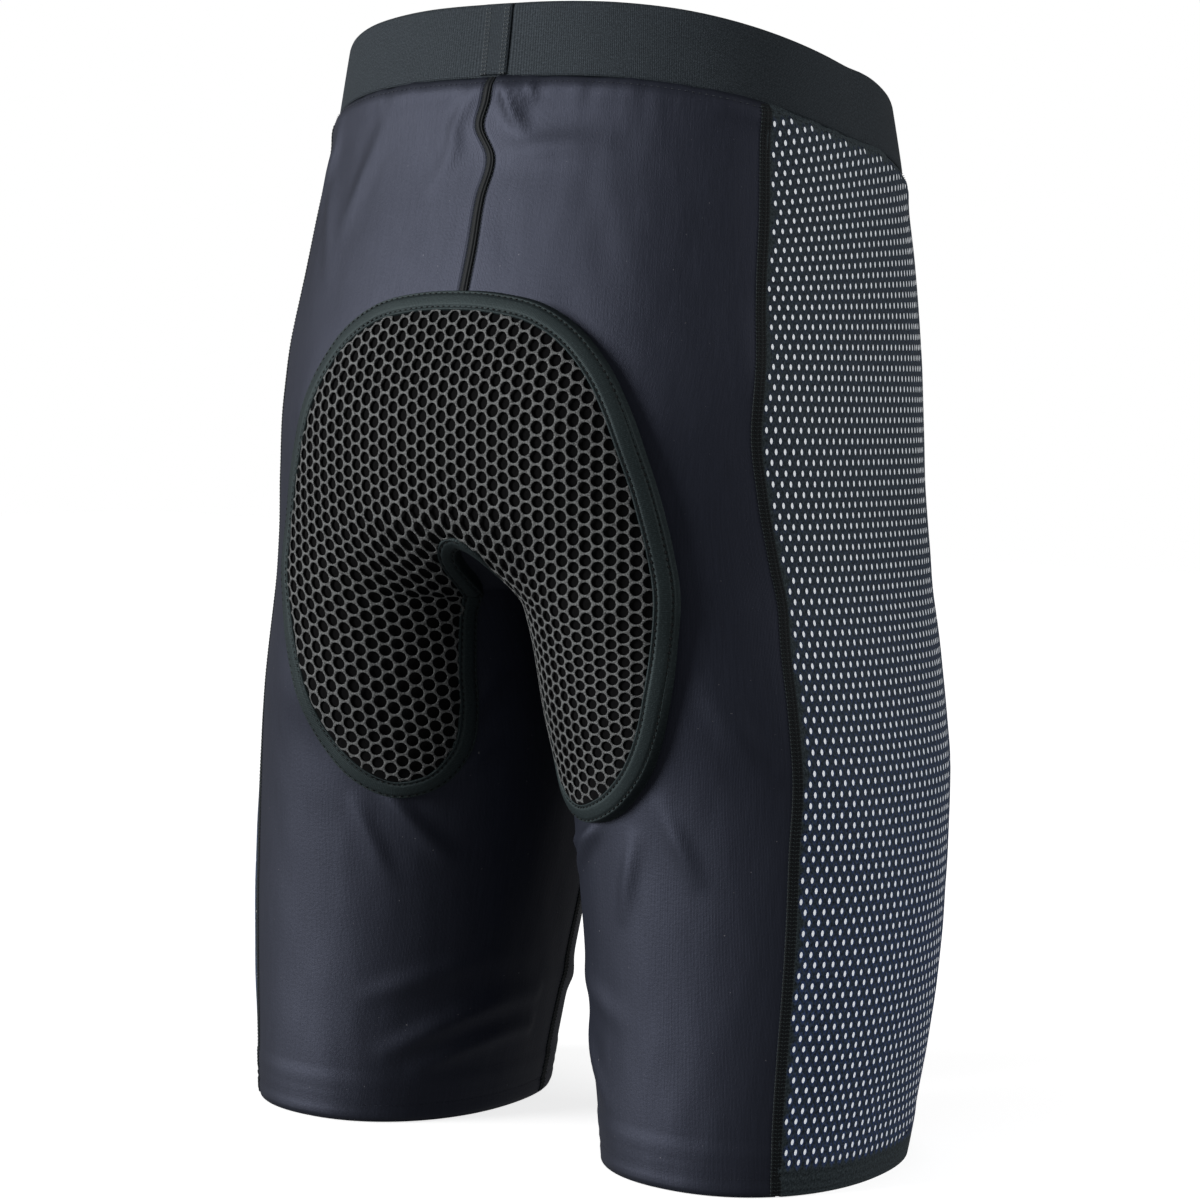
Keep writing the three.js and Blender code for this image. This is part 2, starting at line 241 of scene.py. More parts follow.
back_seam = line_of("side_seam_back_right", 0.2, 0.5)
front_seam = line_of("side_seam_front_right", 0.5, 0.8)
inseam_share = line_of("inseam_right", 0.85, 1)
inseam_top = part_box("inseam_right")[1].z


def inseam(z):
    """The inner leg seam swings to the centre plane between the tape's top and the crotch."""
    reached = np.clip((crotch - z) / (crotch - inseam_top), 0, 1)
    return 1 + (inseam_share(np.minimum(z, inseam_top)) - 1) * reached


print("back seam at t =", np.round(back_seam([0, crotch, 0.45]), 3),
      "front seam at t =", np.round(front_seam([0, crotch, 0.44]), 3))

# %% [markdown]
# ## Folds and creases
#
# Stretch nylon lies almost flat on the body, but not quite. It is drawn into short ridges
# where something pulls on it: below the waistband, at the lobes of the tail pad and near the
# inner thigh. Cloth simulation would move the edges that the seams must follow, so the
# ridges are put where they lie on the real shorts, each as a line seen from behind with a
# width and a height, and a slow unevenness is added over all of it. One function gives the
# lift of the cloth at any point, and the tapes and stitches on the cloth use it too.

# %% Where the cloth stands off the form
# Each ridge runs from one point (x, z) to another, seen from behind or from the front, with
# its half width and height, all in millimetres. A negative height is a furrow.
back_ridges = [
    ((-6, 484), (-20, 462), 3.0, 1.5), ((-13, 484), (-21, 471), 2.0, 0.8),
    ((-19, 484), (-25, 474), 1.6, 0.7), ((8, 480), (26, 438), 4.0, 0.7),
    ((-8, 452), (-60, 455), 6.0, 0.7), ((60, 470), (84, 420), 5.0, 0.7),
    ((100, 470), (112, 430), 4.0, 0.9), ((104, 452), (92, 400), 5.0, 0.6),
    ((-60, 158), (-36, 132), 4.0, 1.6), ((-52, 152), (-26, 140), 3.0, 1.1),
    ((-80, 152), (-74, 118), 4.0, 0.9), ((-96, 168), (-112, 138), 4.0, 0.9),
    ((-118, 220), (-140, 186), 6.0, 0.8), ((-40, 166), (-22, 188), 4.0, 1.4),
    ((60, 158), (38, 128), 4.0, 1.4), ((76, 152), (60, 118), 4.0, 0.8),
    ((30, 190), (18, 214), 3.5, 1.6), ((36, 166), (22, 180), 3.0, 1.2),
    ((26, 58), (62, 34), 4.5, 1.6), ((24, 44), (50, 26), 3.5, 1.1),
    ((30, 78), (70, 60), 5.0, 0.9), ((-34, 60), (-62, 30), 5.0, 0.9),
    ((-30, 84), (-70, 70), 6.0, 0.7), ((-2, 296), (-2, 262), 3.0, -1.6),
    ((-14, 300), (-20, 260), 4.0, 1.2), ((14, 300), (20, 262), 4.0, 1.2),
    ((-120, 380), (-136, 330), 6.0, 0.6), ((120, 390), (136, 340), 6.0, 0.6),
]
front_ridges = [
    ((-8, 425), (-30, 396), 5.0, 1.1), ((8, 425), (34, 392), 5.0, 1.0),
    ((-60, 430), (-74, 380), 6.0, 0.8), ((64, 428), (80, 384), 6.0, 0.8),
    ((-6, 262), (-44, 286), 5.0, 1.6), ((6, 262), (46, 288), 5.0, 1.6),
    ((-10, 250), (-52, 262), 4.5, 1.3), ((10, 250), (50, 260), 4.5, 1.3),
    ((-40, 150), (-90, 176), 6.0, 0.9), ((40, 150), (92, 172), 6.0, 0.9),
    ((-34, 60), (-76, 40), 5.0, 1.0), ((30, 62), (72, 36), 5.0, 1.1),
]
# The centre-back seam wanders from side to side below the band: depth below it, and how far
# towards the wearer's left.
sway_depths = np.array([0, 10, 22, 36, 54, 78, 97, 130]) * mm
sway_asides = np.array([0, 1.2, 4.2, -4.0, -1.6, -1.2, 0, 0]) * mm
sway_reach = 22 * mm


def sway(z):
    below = waist_back - band_height - z
    return np.where(below < 0, 0, smooth_through(sway_depths, sway_asides, below))


def ridge_lift(x, z, ridges):
    total = np.zeros_like(x)
    for start, end, half_width, height in ridges:
        a, b = np.array(start) * mm, np.array(end) * mm
        along = b - a
        share = np.clip(((x - a[0]) * along[0] + (z - a[1]) * along[1]) / (along @ along), 0, 1)
        apart = np.hypot(x - a[0] - share * along[0], z - a[1] - share * along[1])
        taper = 0.35 + 0.65 * np.sin(np.pi * share)
        total += 2.1 * height * mm * taper * np.exp(-((apart / (half_width * mm)) ** 2))
    return total


def slow_noise(points, size, seed):
    """Smooth noise from -1 to 1 with lumps of a given size."""
    shift = Vector((seed, seed * 1.7, seed * 0.6))
    return np.array([noise.noise(Vector(p) / size + shift) for p in points])


hem_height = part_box("hem_facing_right")[1].z
hem_rows = (8 * mm, 12 * mm)  # the two rows of stitches above each hem's edge


def cloth_lift(t, z, points):
    """How far the body cloth stands off the form."""
    x = points[:, 0]
    behind = points[:, 1] > 0
    lift = np.where(behind, ridge_lift(x, z, back_ridges), ridge_lift(x, z, front_ridges))
    stretch = points * np.array([1.0, 1.0, 0.45])
    lift += 0.7 * mm * slow_noise(stretch, 34 * mm, 3) + 0.25 * mm * slow_noise(stretch, 11 * mm, 8)
    below_band = waist_seam(np.clip(t, 0, 1)) - z
    lift += 1.0 * mm * np.exp(-(((below_band - 7 * mm) / (6 * mm)) ** 2))
    gathers = np.sin(x / (2.6 * mm)) * slow_noise(points, 14 * mm, 5)
    lift += 0.8 * mm * gathers * np.exp(-abs(below_band) / (9 * mm))
    lift -= 1.9 * mm * np.exp(-((below_band / (2.2 * mm)) ** 2))
    lift += 0.4 * mm * (1 - ease(z, hem_height - 1.5 * mm, hem_height))
    for row in hem_rows:
        lift -= 0.5 * mm * np.exp(-(((z - row) / (0.8 * mm)) ** 2))
    return lift * ease(z, 0, 3 * mm) + 0.1 * mm


def on_cloth(t, z, out=0.0, aside=0.0, side=-1, lifted=True):
    """Points off the body cloth: side is -1 for the wearer's right and 1 for the left. Past the
    centre plane, where t is below 0 or above 1, they go on round the other side."""
    t, z = np.broadcast_arrays(np.asarray(t, float), np.asarray(z, float))
    if np.any(aside):
        t = t + aside / np.linalg.norm(tangents(t, z)[0], axis=-1)
    across = (z >= crotch) & ((t < 0) | (t > 1))
    t = np.where(across, np.where(t < 0, -t, 2 - t), t)
    normal = tangents(t, z)[2]
    points = form(t, z)
    sides = np.where(across, -side, side)
    mirrored = np.stack([-sides, np.ones_like(z), np.ones_like(z)], -1)
    lift = cloth_lift(t, z, points * mirrored) if lifted else 0
    points = points + normal * (np.asarray(out) + lift)[..., None]
    points[:, 2] = np.maximum(points[:, 2], 0)
    points = points * mirrored
    centred = np.exp(-((points[:, 0] / sway_reach) ** 2)) * (points[:, 1] > 0)
    points[:, 0] += sway(z) * centred
    return points


print(len(back_ridges), "ridges behind and", len(front_ridges), "in front")

# %% [markdown]
# ## Helpers for laid pieces
#
# Each piece starts flat, as cloth does on the cutting table: a grid, a row of stitches or a
# lattice. Its flat place is kept as a UV map in metres, so weaves keep their scale, and then
# every vertex moves to its place on the form.

# %% Lay a flat piece and finish it
def lay(flat, place, turn=False):
    """Keeps the flat places as a UV map, and moves each vertex to place(x, y, z)."""
    cut = flat.loops.layers.uv.new("cut")
    for face in flat.faces:
        for corner in face.loops:
            corner[cut].uv = corner.vert.co.xy
    spots = np.array([v.co[:] for v in flat.verts])
    for vert, spot in zip(flat.verts, place(*spots.T)):
        vert.co = spot
    if turn:
        bmesh.ops.reverse_faces(flat, faces=flat.faces)


def finished(name, shape, material, replaced=()):
    """Makes an object of a bmesh, which rides on the body and takes its material."""
    mesh = bpy.data.meshes.new(name)
    shape.to_mesh(mesh)
    shape.free()
    mesh.polygons.foreach_set("use_smooth", [True] * len(mesh.polygons))
    mesh.materials.append(material)
    piece = bpy.data.objects.new(name, mesh)
    bpy.context.scene.collection.objects.link(piece)
    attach(piece, "root")
    if replaced:
        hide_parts(*replaced)
    print(f"{name}: {len(mesh.polygons)} faces")
    return piece


def thicken(piece, thickness):
    """Gives a sheet a wall, which grows inwards from its outer face."""
    wall = piece.modifiers.new("wall", "SOLIDIFY")
    wall.thickness = thickness
    wall.offset = -1.0


def round_off(piece):
    """One subdivision, which turns square strands and holes round."""
    rounding = piece.modifiers.new("rounding", "SUBSURF")
    rounding.levels = rounding.render_levels = 1


def grid(across, up):
    """A flat grid of cells that runs from 0 to 1 both ways."""
    flat = bmesh.new()
    bmesh.ops.create_grid(flat, x_segments=across, y_segments=up, size=0.5)
    bmesh.ops.translate(flat, verts=flat.verts, vec=(0.5, 0.5, 0))
    return flat


# %% [markdown]
# ## Finishes
#
# Each finish is a small node tree. Cloth reads its flat UV map, in metres, so that threads
# keep their size; foam reads its place in the object.

# %% Node helpers
def new_finish(name, roughness, colour=None, **sockets):
    """A new material and its Principled shader."""
    made = bpy.data.materials.new(name)
    made.use_nodes = True
    shader = made.node_tree.nodes["Principled BSDF"]
    shader.inputs["Roughness"].default_value = roughness
    if colour:
        shader.inputs["Base Color"].default_value = (*colour, 1)
    for socket, value in sockets.items():
        shader.inputs[socket.replace("_", " ")].default_value = value
    return made, shader


def node(finish, kind, **settings):
    """A new node. Each setting names one of its sockets, or else one of its properties."""
    made = finish.node_tree.nodes.new(kind)
    for key, value in settings.items():
        if key in made.inputs:
            made.inputs[key].default_value = value
        else:
            setattr(made, key, value)
    return made


def join(finish, source, target):
    finish.node_tree.links.new(source, target)


def srgb(red, green, blue):
    """A colour as screens give it, from 0 to 255, in linear light."""
    screen = (red, green, blue)
    return tuple(((c / 255 + 0.055) / 1.055) ** 2.4 if c > 10 else c / 3295 for c in screen)


def mapped(finish, scale, own_map=True):
    """The piece's flat map or its object place, scaled: one unit becomes one pattern."""
    source = node(finish, "ShaderNodeTexCoord")
    placed = node(finish, "ShaderNodeMapping", Scale=scale)
    join(finish, source.outputs["UV" if own_map else "Object"], placed.inputs["Vector"])
    return placed.outputs["Vector"]


def cloudy(finish, vector, detail=3.0, rough=0.5):
    """Lumps of noise: about one for each unit of the vector."""
    made = node(finish, "ShaderNodeTexNoise", Scale=1.0, Detail=detail, Roughness=rough)
    join(finish, vector, made.inputs["Vector"])
    return made.outputs["Fac"]


def banded(finish, vector, direction="X", distortion=0.0):
    """Even stripes: one for each unit of the vector."""
    made = node(
        finish, "ShaderNodeTexWave", Scale=math.pi / 10, Distortion=distortion,
        bands_direction=direction, wave_profile="SIN",
    )
    made.inputs["Detail Scale"].default_value = 2.0
    join(finish, vector, made.inputs["Vector"])
    return made.outputs["Fac"]


def blend_of(finish, share, first, second):
    """A colour between two, by a share from 0 to 1."""
    made = node(finish, "ShaderNodeMix", data_type="RGBA")
    for number, value in ((0, share), (6, first), (7, second)):
        socket = made.inputs[number]
        if isinstance(value, tuple):
            socket.default_value = (*value, 1)
        else:
            join(finish, value, socket)
    return made.outputs[2]


def sharpen(finish, value, low, high):
    """Stretches a value so that low becomes 0 and high becomes 1."""
    made = node(finish, "ShaderNodeMapRange")
    made.inputs["From Min"].default_value = low
    made.inputs["From Max"].default_value = high
    join(finish, value, made.inputs["Value"])
    return made.outputs["Result"]


def bumped(finish, shader, height, depth, strength=1.0, after=None):
    """Adds a bump to a finish, on top of another where one is given."""
    made = node(finish, "ShaderNodeBump", Distance=depth, Strength=strength)
    join(finish, height, made.inputs["Height"])
    if after is not None:
        join(finish, after, made.inputs["Normal"])
    join(finish, made.outputs["Normal"], shader.inputs["Normal"])
    return made.outputs["Normal"]


# %% [markdown]
# ### Nylon body cloth
#
# A warp-knit nylon and elastane: dark navy charcoal with fine upright ribs, a soft sheen
# where it turns away, and a little lint. Ribs half a millimetre apart are a bump; the lint is
# a sparse speckle, and a slow cloudiness keeps the colour from looking painted.

# %% Body cloth finish
def body_cloth_finish():
    cloth, shader = new_finish("body_cloth", 0.55)
    shader.inputs["Specular IOR Level"].default_value = 0.5
    shader.inputs["Specular Tint"].default_value = (*srgb(212, 220, 255), 1)
    ribs = banded(cloth, mapped(cloth, (1 / 0.0006, 1, 1)), distortion=0.6)
    streaks = cloudy(cloth, mapped(cloth, (1 / 0.0007, 1 / 0.02, 1)), detail=4)
    grain = cloudy(cloth, mapped(cloth, (1 / 0.0012, 1 / 0.0016, 1)), detail=3, rough=0.7)
    clouds = cloudy(cloth, mapped(cloth, (1 / 0.05, 1 / 0.08, 1)), detail=5)
    spots = cloudy(cloth, mapped(cloth, (1 / 0.0018, 1 / 0.0018, 1)), detail=2)
    base = blend_of(cloth, clouds, srgb(18, 21, 27), srgb(27, 29, 37))
    streaked = blend_of(cloth, sharpen(cloth, streaks, 0.35, 0.85), base, srgb(33, 36, 45))
    speckled = blend_of(cloth, sharpen(cloth, spots, 0.74, 0.79), streaked, srgb(112, 110, 112))
    join(cloth, speckled, shader.inputs["Base Color"])
    first = bumped(cloth, shader, ribs, 0.06 * mm, 0.5)
    second = bumped(cloth, shader, streaks, 0.12 * mm, 0.5, first)
    bumped(cloth, shader, grain, 0.2 * mm, 0.6, second)
    return cloth


body_cloth = body_cloth_finish()

# %% [markdown]
# ## Body panels
#
# Two nylon panels wrap the back of the seat and legs, and two the front. Each could be cut
# from a tube, but then the seams would fall anywhere. A grid laid between two seam lines
# keeps rows level and lets the edges lie exactly under the seams. Rows crowd together where
# the legs merge, because the form turns fastest there.

# %% Rows that crowd at the crotch
leg_rows, merge_rows, body_rows = 100, 18, 82
panel_rows = leg_rows + merge_rows + body_rows
cloth_thickness = 1.0 * mm
tucked_up = 0.4 * mm  # how far the cloth goes up behind the band


def row_height(share, top):
    """The height of a row of a panel, at a share of the way up it."""
    row = share * panel_rows
    turn = np.clip((row - leg_rows) / merge_rows, 0, 1) * np.pi / 2
    merging = crotch + crotch_round * (1 - np.cos(turn))
    upper = np.clip((row - leg_rows - merge_rows) / body_rows, 0, 1)
    return np.where(row < leg_rows, crotch * row / leg_rows, mix(merging, top, upper))


def between(from_line, to_line, across, up):
    """The t and z of shares across and up a panel between two seam lines."""
    t = np.full_like(across, 0.5)
    for _ in range(4):
        z = row_height(up, waist_seam(np.clip(t, 0, 1)) + tucked_up)
        t = mix(from_line(z), to_line(z), across)
    return t, z


def cloth_panel(name, columns, from_line, to_line, side):
    flat = grid(columns, panel_rows)
    width = 0.19 if "back" in name else 0.15
    bmesh.ops.scale(flat, vec=(width, waist_back, 1), verts=flat.verts)

    def place(x, y, _):
        t, z = between(from_line, to_line, x / width, y / waist_back)
        return on_cloth(t, z, side=side)

    lay(flat, place, turn=side > 0)
    panel = finished(name + "_cloth", flat, body_cloth, [name])
    thicken(panel, cloth_thickness)


for side, word in ((-1, "right"), (1, "left")):
    cloth_panel(f"back_panel_{word}", 84, lambda z: inseam(z) - 1, back_seam, side)
    cloth_panel(f"front_panel_{word}", 64, front_seam, inseam, side)

# %% [markdown]
# ## Stitches and seam tapes
#
# Stretch seams are sewn flat: needle threads run along them and a cover thread crosses
# between. Drawn as a texture they go flat at the edge of the light, so each stitch is a small
# bead of real thread. One repeat of the pattern is made flat, doubled until it fills the
# seam, and laid along it. Beads have twenty faces each, because there are thousands.

# %% One repeat, doubled to fill a length
def beads(*places):
    """Stitches as slim beads: x, y, length, width, height and angle, in mm and degrees."""
    unit = bmesh.new()
    for x, y, long, wide, high, angle in places:
        shape = (
            Matrix.Translation((x * mm, y * mm, 0))
            @ Matrix.Rotation(math.radians(angle), 4, "Z")
            @ Matrix.Diagonal((long * mm, wide * mm, high * mm, 1))
        )
        bmesh.ops.create_icosphere(unit, subdivisions=1, radius=0.5, matrix=shape)
    return unit


def repeated(unit, count, step):
    """Copies what a bmesh holds until there are count of it, each a step from the last."""
    each, have = len(unit.verts), 1
    while have < count:
        copy = bmesh.ops.duplicate(unit, geom=unit.verts[:] + unit.edges[:] + unit.faces[:])
        moved = [v for v in copy["geom"] if isinstance(v, bmesh.types.BMVert)]
        bmesh.ops.translate(unit, verts=moved, vec=Vector(step) * have)
        have *= 2
    bmesh.ops.delete(unit, geom=unit.verts[:][each * count:], context="VERTS")
    return unit


def route(t_of, z_of, samples=900):
    """The length of a route on the form, and its t and z at any distance along it. t_of and
    z_of give them for a share of the route."""
    share = np.linspace(0, 1, samples)
    t, z = t_of(share), z_of(share)
    steps = np.linalg.norm(np.diff(form(np.clip(t, 0, 1), z), axis=0), axis=1)
    run = np.concatenate([[0], np.cumsum(steps)])
    return run[-1], lambda x: (np.interp(x, run, t), np.interp(x, run, z))


def up_seam(line, low, high):
    """The route up a seam line, from one height to another."""
    heights = lambda share: mix(low, high, share)
    return route(lambda share: line(heights(share)), heights)


# %% [markdown]
# ### Threads
#
# The seam thread is a soft black nylon. The waistband's thread is greyer and catches light.

# %% Thread finishes
def thread_finish(name, dark, light, scale=1 / 0.0004):
    thread, shader = new_finish(name, 0.62, Sheen_Weight=0.05)
    shader.inputs["Specular IOR Level"].default_value = 0.2
    twist = cloudy(thread, mapped(thread, (scale,) * 3, own_map=False), detail=2)
    join(thread, blend_of(thread, twist, dark, light), shader.inputs["Base Color"])
    bumped(thread, shader, twist, 0.08 * mm, 0.6)
    return thread


black_thread = thread_finish("black_thread", srgb(9, 12, 15), srgb(20, 25, 29))
cover_thread = thread_finish("cover_thread", srgb(34, 42, 44), srgb(68, 78, 80))
grey_thread = thread_finish("grey_thread", srgb(78, 84, 88), srgb(124, 130, 134))
dark_thread = thread_finish("dark_thread", srgb(4, 5, 6), srgb(12, 14, 15))
cloth_thread = thread_finish("cloth_thread", srgb(44, 48, 60), srgb(88, 92, 106))


# %% A tape laid along a seam
def tape(name, route_found, width, profile, material, side, replaced=(), across=10):
    """A strip along a route. profile gives its height off the cloth, from -1 to 1 across it."""
    length, at = route_found
    flat = grid(max(12, round(length / (1.6 * mm))), across)
    bmesh.ops.translate(flat, verts=flat.verts, vec=(0, -0.5, 0))
    bmesh.ops.scale(flat, vec=(length, width, 1), verts=flat.verts)

    def place(x, y, _):
        t, z = at(x)
        return on_cloth(t, z, out=profile(y / width * 2), aside=y, side=side)

    lay(flat, place, turn=side < 0)
    finished(name, flat, material, replaced)


def row_of_stitches(name, route_found, unit, pitch, material, side, out):
    """Repeats a unit of stitches along a route on the cloth."""
    length, at = route_found
    flat = repeated(unit, int(length / pitch), (pitch, 0, 0))

    def place(x, y, up):
        t, z = at(x)
        return on_cloth(t, z, out=out + up, aside=y, side=side)

    lay(flat, place, turn=side < 0)
    finished(name, flat, material)


# %% [markdown]
# ### Side and inner seams
#
# A flat seam joins each side panel to the nylon: a dark ribbon five millimetres wide with
# four needle lines, between which the cover threads cross like a herringbone. The tape could
# be modelled thread by thread. Beads on a grooved ribbon look the same and stay light.

# %% Flat seams up both sides and inside the legs
def flat_profile(y):
    """Low at the edges, with a groove between each pair of needle lines."""
    edge = np.sqrt(np.maximum(0, 1 - abs(y) ** 6))
    return (-0.25 + 0.7 * edge + 0.15 * np.cos(y * 3 * np.pi) * edge) * mm


def herringbone():
    """One repeat of the seam's stitches: four slanted rows, and one along each edge."""
    rows = []
    for y, angle in ((-1.75, 60), (-0.6, -60), (0.6, 60), (1.75, -60)):
        rows.append((0.85, y, 1.3, 0.36, 0.5, angle))
    for y in (-2.35, 2.35):
        rows.append((0.85, y, 1.1, 0.55, 0.6, 0))
    return beads(*rows)


seam_width = 5.2 * mm
for side, word in ((-1, "right"), (1, "left")):
    seams = {
        "side_seam_back": up_seam(back_seam, 0.5 * mm, waist_seam(back_seam(0.47)) - 0.6 * mm),
        "side_seam_front": up_seam(front_seam, 0.5 * mm, waist_seam(front_seam(0.445)) - 0.6 * mm),
        "inseam": up_seam(inseam, 0.5 * mm, crotch - 2 * mm),
    }
    for seam, found in seams.items():
        name = f"{seam}_{word}"
        tape(name + "_tape", found, seam_width, flat_profile, black_thread, side, [name])
        row_of_stitches(name + "_stitches", found, herringbone(), 1.7 * mm, cover_thread, side,
                        out=0.42 * mm)

# %% [markdown]
# ### Centre seams
#
# The centre-back seam stands up as a narrow rounded rib with two needle grooves. It is drawn
# from side to side just below the band, where the seam was sewn under more tension than the
# cloth. The centre-front seam is the same, and straighter.

# %% Raised centre seams
rib_width = 4.0 * mm


def rib_profile(y):
    """A round rib with a needle groove on each flank."""
    height = 1.5 * np.sqrt(np.maximum(0, 1 - y * y)) - 0.3
    grooves = 0.4 * np.exp(-(((abs(y) - 0.38) / 0.14) ** 2))
    return (height - grooves) * mm


for word, t in (("back", 0.0), ("front", 1.0)):
    name = f"centre_{word}_seam"
    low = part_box(name)[0].z
    found = up_seam(lambda z, t=t: np.full_like(z, t), low, waist_seam(t) - 0.4 * mm)
    tape(name + "_rib", found, rib_width, rib_profile, black_thread, -1, [name], across=16)
    ticks = beads((0.9, -2.3, 1.3, 0.4, 0.5, 80), (0.9, 2.3, 1.3, 0.4, 0.5, -80))
    row_of_stitches(name + "_stitches", found, ticks, 1.8 * mm, cover_thread, -1, out=0.2 * mm)

# %% [markdown]
# ### Hems and the band's seam
#
# Each hem is turned up inside and held by two rows of cover stitch. The body is sewn to the
# band with one more row, whose stitches show as small pale dots.

# %% Stitch rows round the hems and below the band
def level_route(height):
    """Half round a leg, at one height."""
    return route(lambda share: share, lambda share: np.full_like(share, height))


def under_band(drop):
    """Half round the waist, a little below the band."""
    return route(lambda share: share, lambda share: waist_seam(share) - drop)


for side, word in ((-1, "right"), (1, "left")):
    for number, height in enumerate(hem_rows, 1):
        dash = beads((1.3, 0, 1.9, 0.7, 0.7, 8 if number == 1 else -8))
        row_of_stitches(f"hem_stitches_{word}_{number}", level_route(height), dash, 2.7 * mm,
                        cloth_thread, side, out=0.05 * mm)
    dots = beads((1.5, 0, 1.1, 0.8, 0.8, 12))
    row_of_stitches(f"waist_stitches_{word}", under_band(3.2 * mm), dots, 3.0 * mm, grey_thread,
                    side, out=0.1 * mm)

# %% [markdown]
# ## Hem facings
#
# Inside each leg the hem's turned-up cloth shows. It folds under the edge and lies flat
# behind the body cloth, and behind the foam where the side panel is padded. It is a strip of
# its own, laid on the same form a little further in, so that its free edge can be seen.

# %% Turned-up hems
def hem_facing(word, side):
    flat = grid(150, 14)
    length = 0.4
    bmesh.ops.scale(flat, vec=(length, hem_height, 1), verts=flat.verts)

    def place(x, y, _):
        t = x / length
        past_back = ease(t, back_seam(0) - 0.02, back_seam(0))
        before_front = ease(-t, -front_seam(0) - 0.02, -front_seam(0))
        beside = past_back * before_front
        out = -(1.1 + 1.2 * ease(y, 0, 2.5 * mm) + 5.2 * beside * ease(y, 3 * mm, 10 * mm)) * mm
        return on_cloth(t, y, out=out, side=side, lifted=False)

    lay(flat, place, turn=side > 0)
    bmesh.ops.remove_doubles(flat, verts=flat.verts, dist=0.02 * mm)
    piece = finished(f"hem_facing_{word}_cloth", flat, body_cloth,
                     [f"hem_facing_{word}"])
    thicken(piece, cloth_thickness)


for side, word in ((-1, "right"), (1, "left")):
    hem_facing(word, side)

# %% [markdown]
# ## Waistband
#
# A loop of soft woven elastic 32 mm wide. Its edges are slightly rolled, and it waves a
# little where it is relaxed. The weave is fine: upright ribs crossed by weft, no more than
# half a millimetre apart, so it is a bump in the finish.

# %% Elastic finish
def elastic_finish():
    elastic, shader = new_finish("elastic", 0.68)
    shader.inputs["Specular IOR Level"].default_value = 0.45
    shader.inputs["Specular Tint"].default_value = (*srgb(222, 236, 248), 1)
    ribs = banded(elastic, mapped(elastic, (1 / 0.0009, 1, 1)), distortion=0.8)
    weft = banded(elastic, mapped(elastic, (1, 1 / 0.0007, 1)), direction="Y", distortion=0.8)
    fuzz = cloudy(elastic, mapped(elastic, (1 / 0.0009,) * 3), detail=4, rough=0.75)
    clouds = cloudy(elastic, mapped(elastic, (1 / 0.008, 1 / 0.008, 1)), detail=5, rough=0.6)
    woven = node(elastic, "ShaderNodeMath", operation="MULTIPLY")
    join(elastic, ribs, woven.inputs[0])
    join(elastic, weft, woven.inputs[1])
    base = blend_of(elastic, clouds, srgb(20, 25, 29), srgb(34, 40, 45))
    fuzzy = blend_of(elastic, sharpen(elastic, fuzz, 0.45, 0.7), base, srgb(58, 65, 71))
    join(elastic, fuzzy, shader.inputs["Base Color"])
    first = bumped(elastic, shader, woven.outputs[0], 0.25 * mm, 0.8)
    bumped(elastic, shader, fuzz, 0.25 * mm, 0.8, first)
    return elastic


elastic_cloth = elastic_finish()


# %% The band and its lapped join
band_thickness = 2 * mm
band_overlap = 0.8 * mm  # the band's lower edge covers the body cloth's


def rolled(up, width, radius, depth):
    """How far the two edges of a strip fall away: up runs across it, from 0 to its width."""
    nearest = np.minimum(up, width - up)
    return depth * np.exp(-((nearest / radius) ** 2))


def on_band(x, up, out):
    """A point on the band: x is a share of the whole way round, from centre back."""
    t = np.where(x > 0.5, 2 - 2 * x, 2 * x)
    z = waist_seam(t) + up
    normal = tangents(t, z)[2]
    points = form(t, z) + normal * np.asarray(out)[..., None]
    points[:, 0] *= np.where(x > 0.5, -1, 1)
    points[:, 0][(t == 0) | (t == 1)] = 0
    return points


def waistband():
    """The loop of elastic, which waves a little and rolls at both edges."""
    flat = grid(320, 28)
    length = 0.74
    bmesh.ops.scale(flat, vec=(length, band_height, 1), verts=flat.verts)

    def place(x, y, _):
        spots = on_band(x / length, y, np.zeros_like(x))
        wave = 0.5 * mm * slow_noise(spots * np.array([1, 1, 0.5]), 26 * mm, 13)
        out = wave - band_depth - rolled(y, band_height, 1.1 * mm, 0.5 * mm)
        return on_band(x / length, mix(-band_overlap, band_height, y / band_height), out)

    lay(flat, place)
    bmesh.ops.remove_doubles(flat, verts=flat.verts, dist=0.02 * mm)
    piece = finished("waistband_elastic", flat, elastic_cloth, ["waistband"])
    thicken(piece, band_thickness - 0.4 * mm)


def join_tab():
    """The lap at centre back, sewn down by two double rows."""
    box_low, box_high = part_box("waistband_join")
    width = box_high.x - box_low.x
    flat = grid(20, 32)
    bmesh.ops.scale(flat, vec=(width, band_height - 0.6 * mm, 1), verts=flat.verts)

    def place(x, y, _):
        aside = x - width / 2
        points = on_band(np.zeros_like(x), y + 0.3 * mm, np.full_like(x, 0.1 * mm))
        points[:, 1] -= rolled(x, width, 0.8 * mm, 0.5 * mm) + rolled(y, band_height, mm, 0.3 * mm)
        points[:, 0] = -aside
        return points

    lay(flat, place)
    piece = finished("waistband_lap", flat, elastic_cloth, ["waistband_join"])
    thicken(piece, 0.4 * mm)
    for number, middle in enumerate((-5, 5), 1):
        unit = beads((0.9, middle - 1, 1.4, 0.6, 0.6, 14), (0.9, middle + 1, 1.4, 0.6, 0.6, -14),
                     (0.9, middle, 1.9, 0.3, 0.4, 62))
        rows = repeated(unit, int(band_height / (1.8 * mm)), (1.8 * mm, 0, 0))

        def along(x, y, up):
            points = on_band(np.zeros_like(x), x, 0.15 * mm + up)
            points[:, 0] = -y
            return points

        lay(rows, along)
        finished(f"waistband_lap_stitches_{number}", rows, grey_thread)


waistband()
join_tab()

# %% [markdown]
# ### Care label
#
# A blank soft label hangs inside at centre back. It curls a little at its free end.

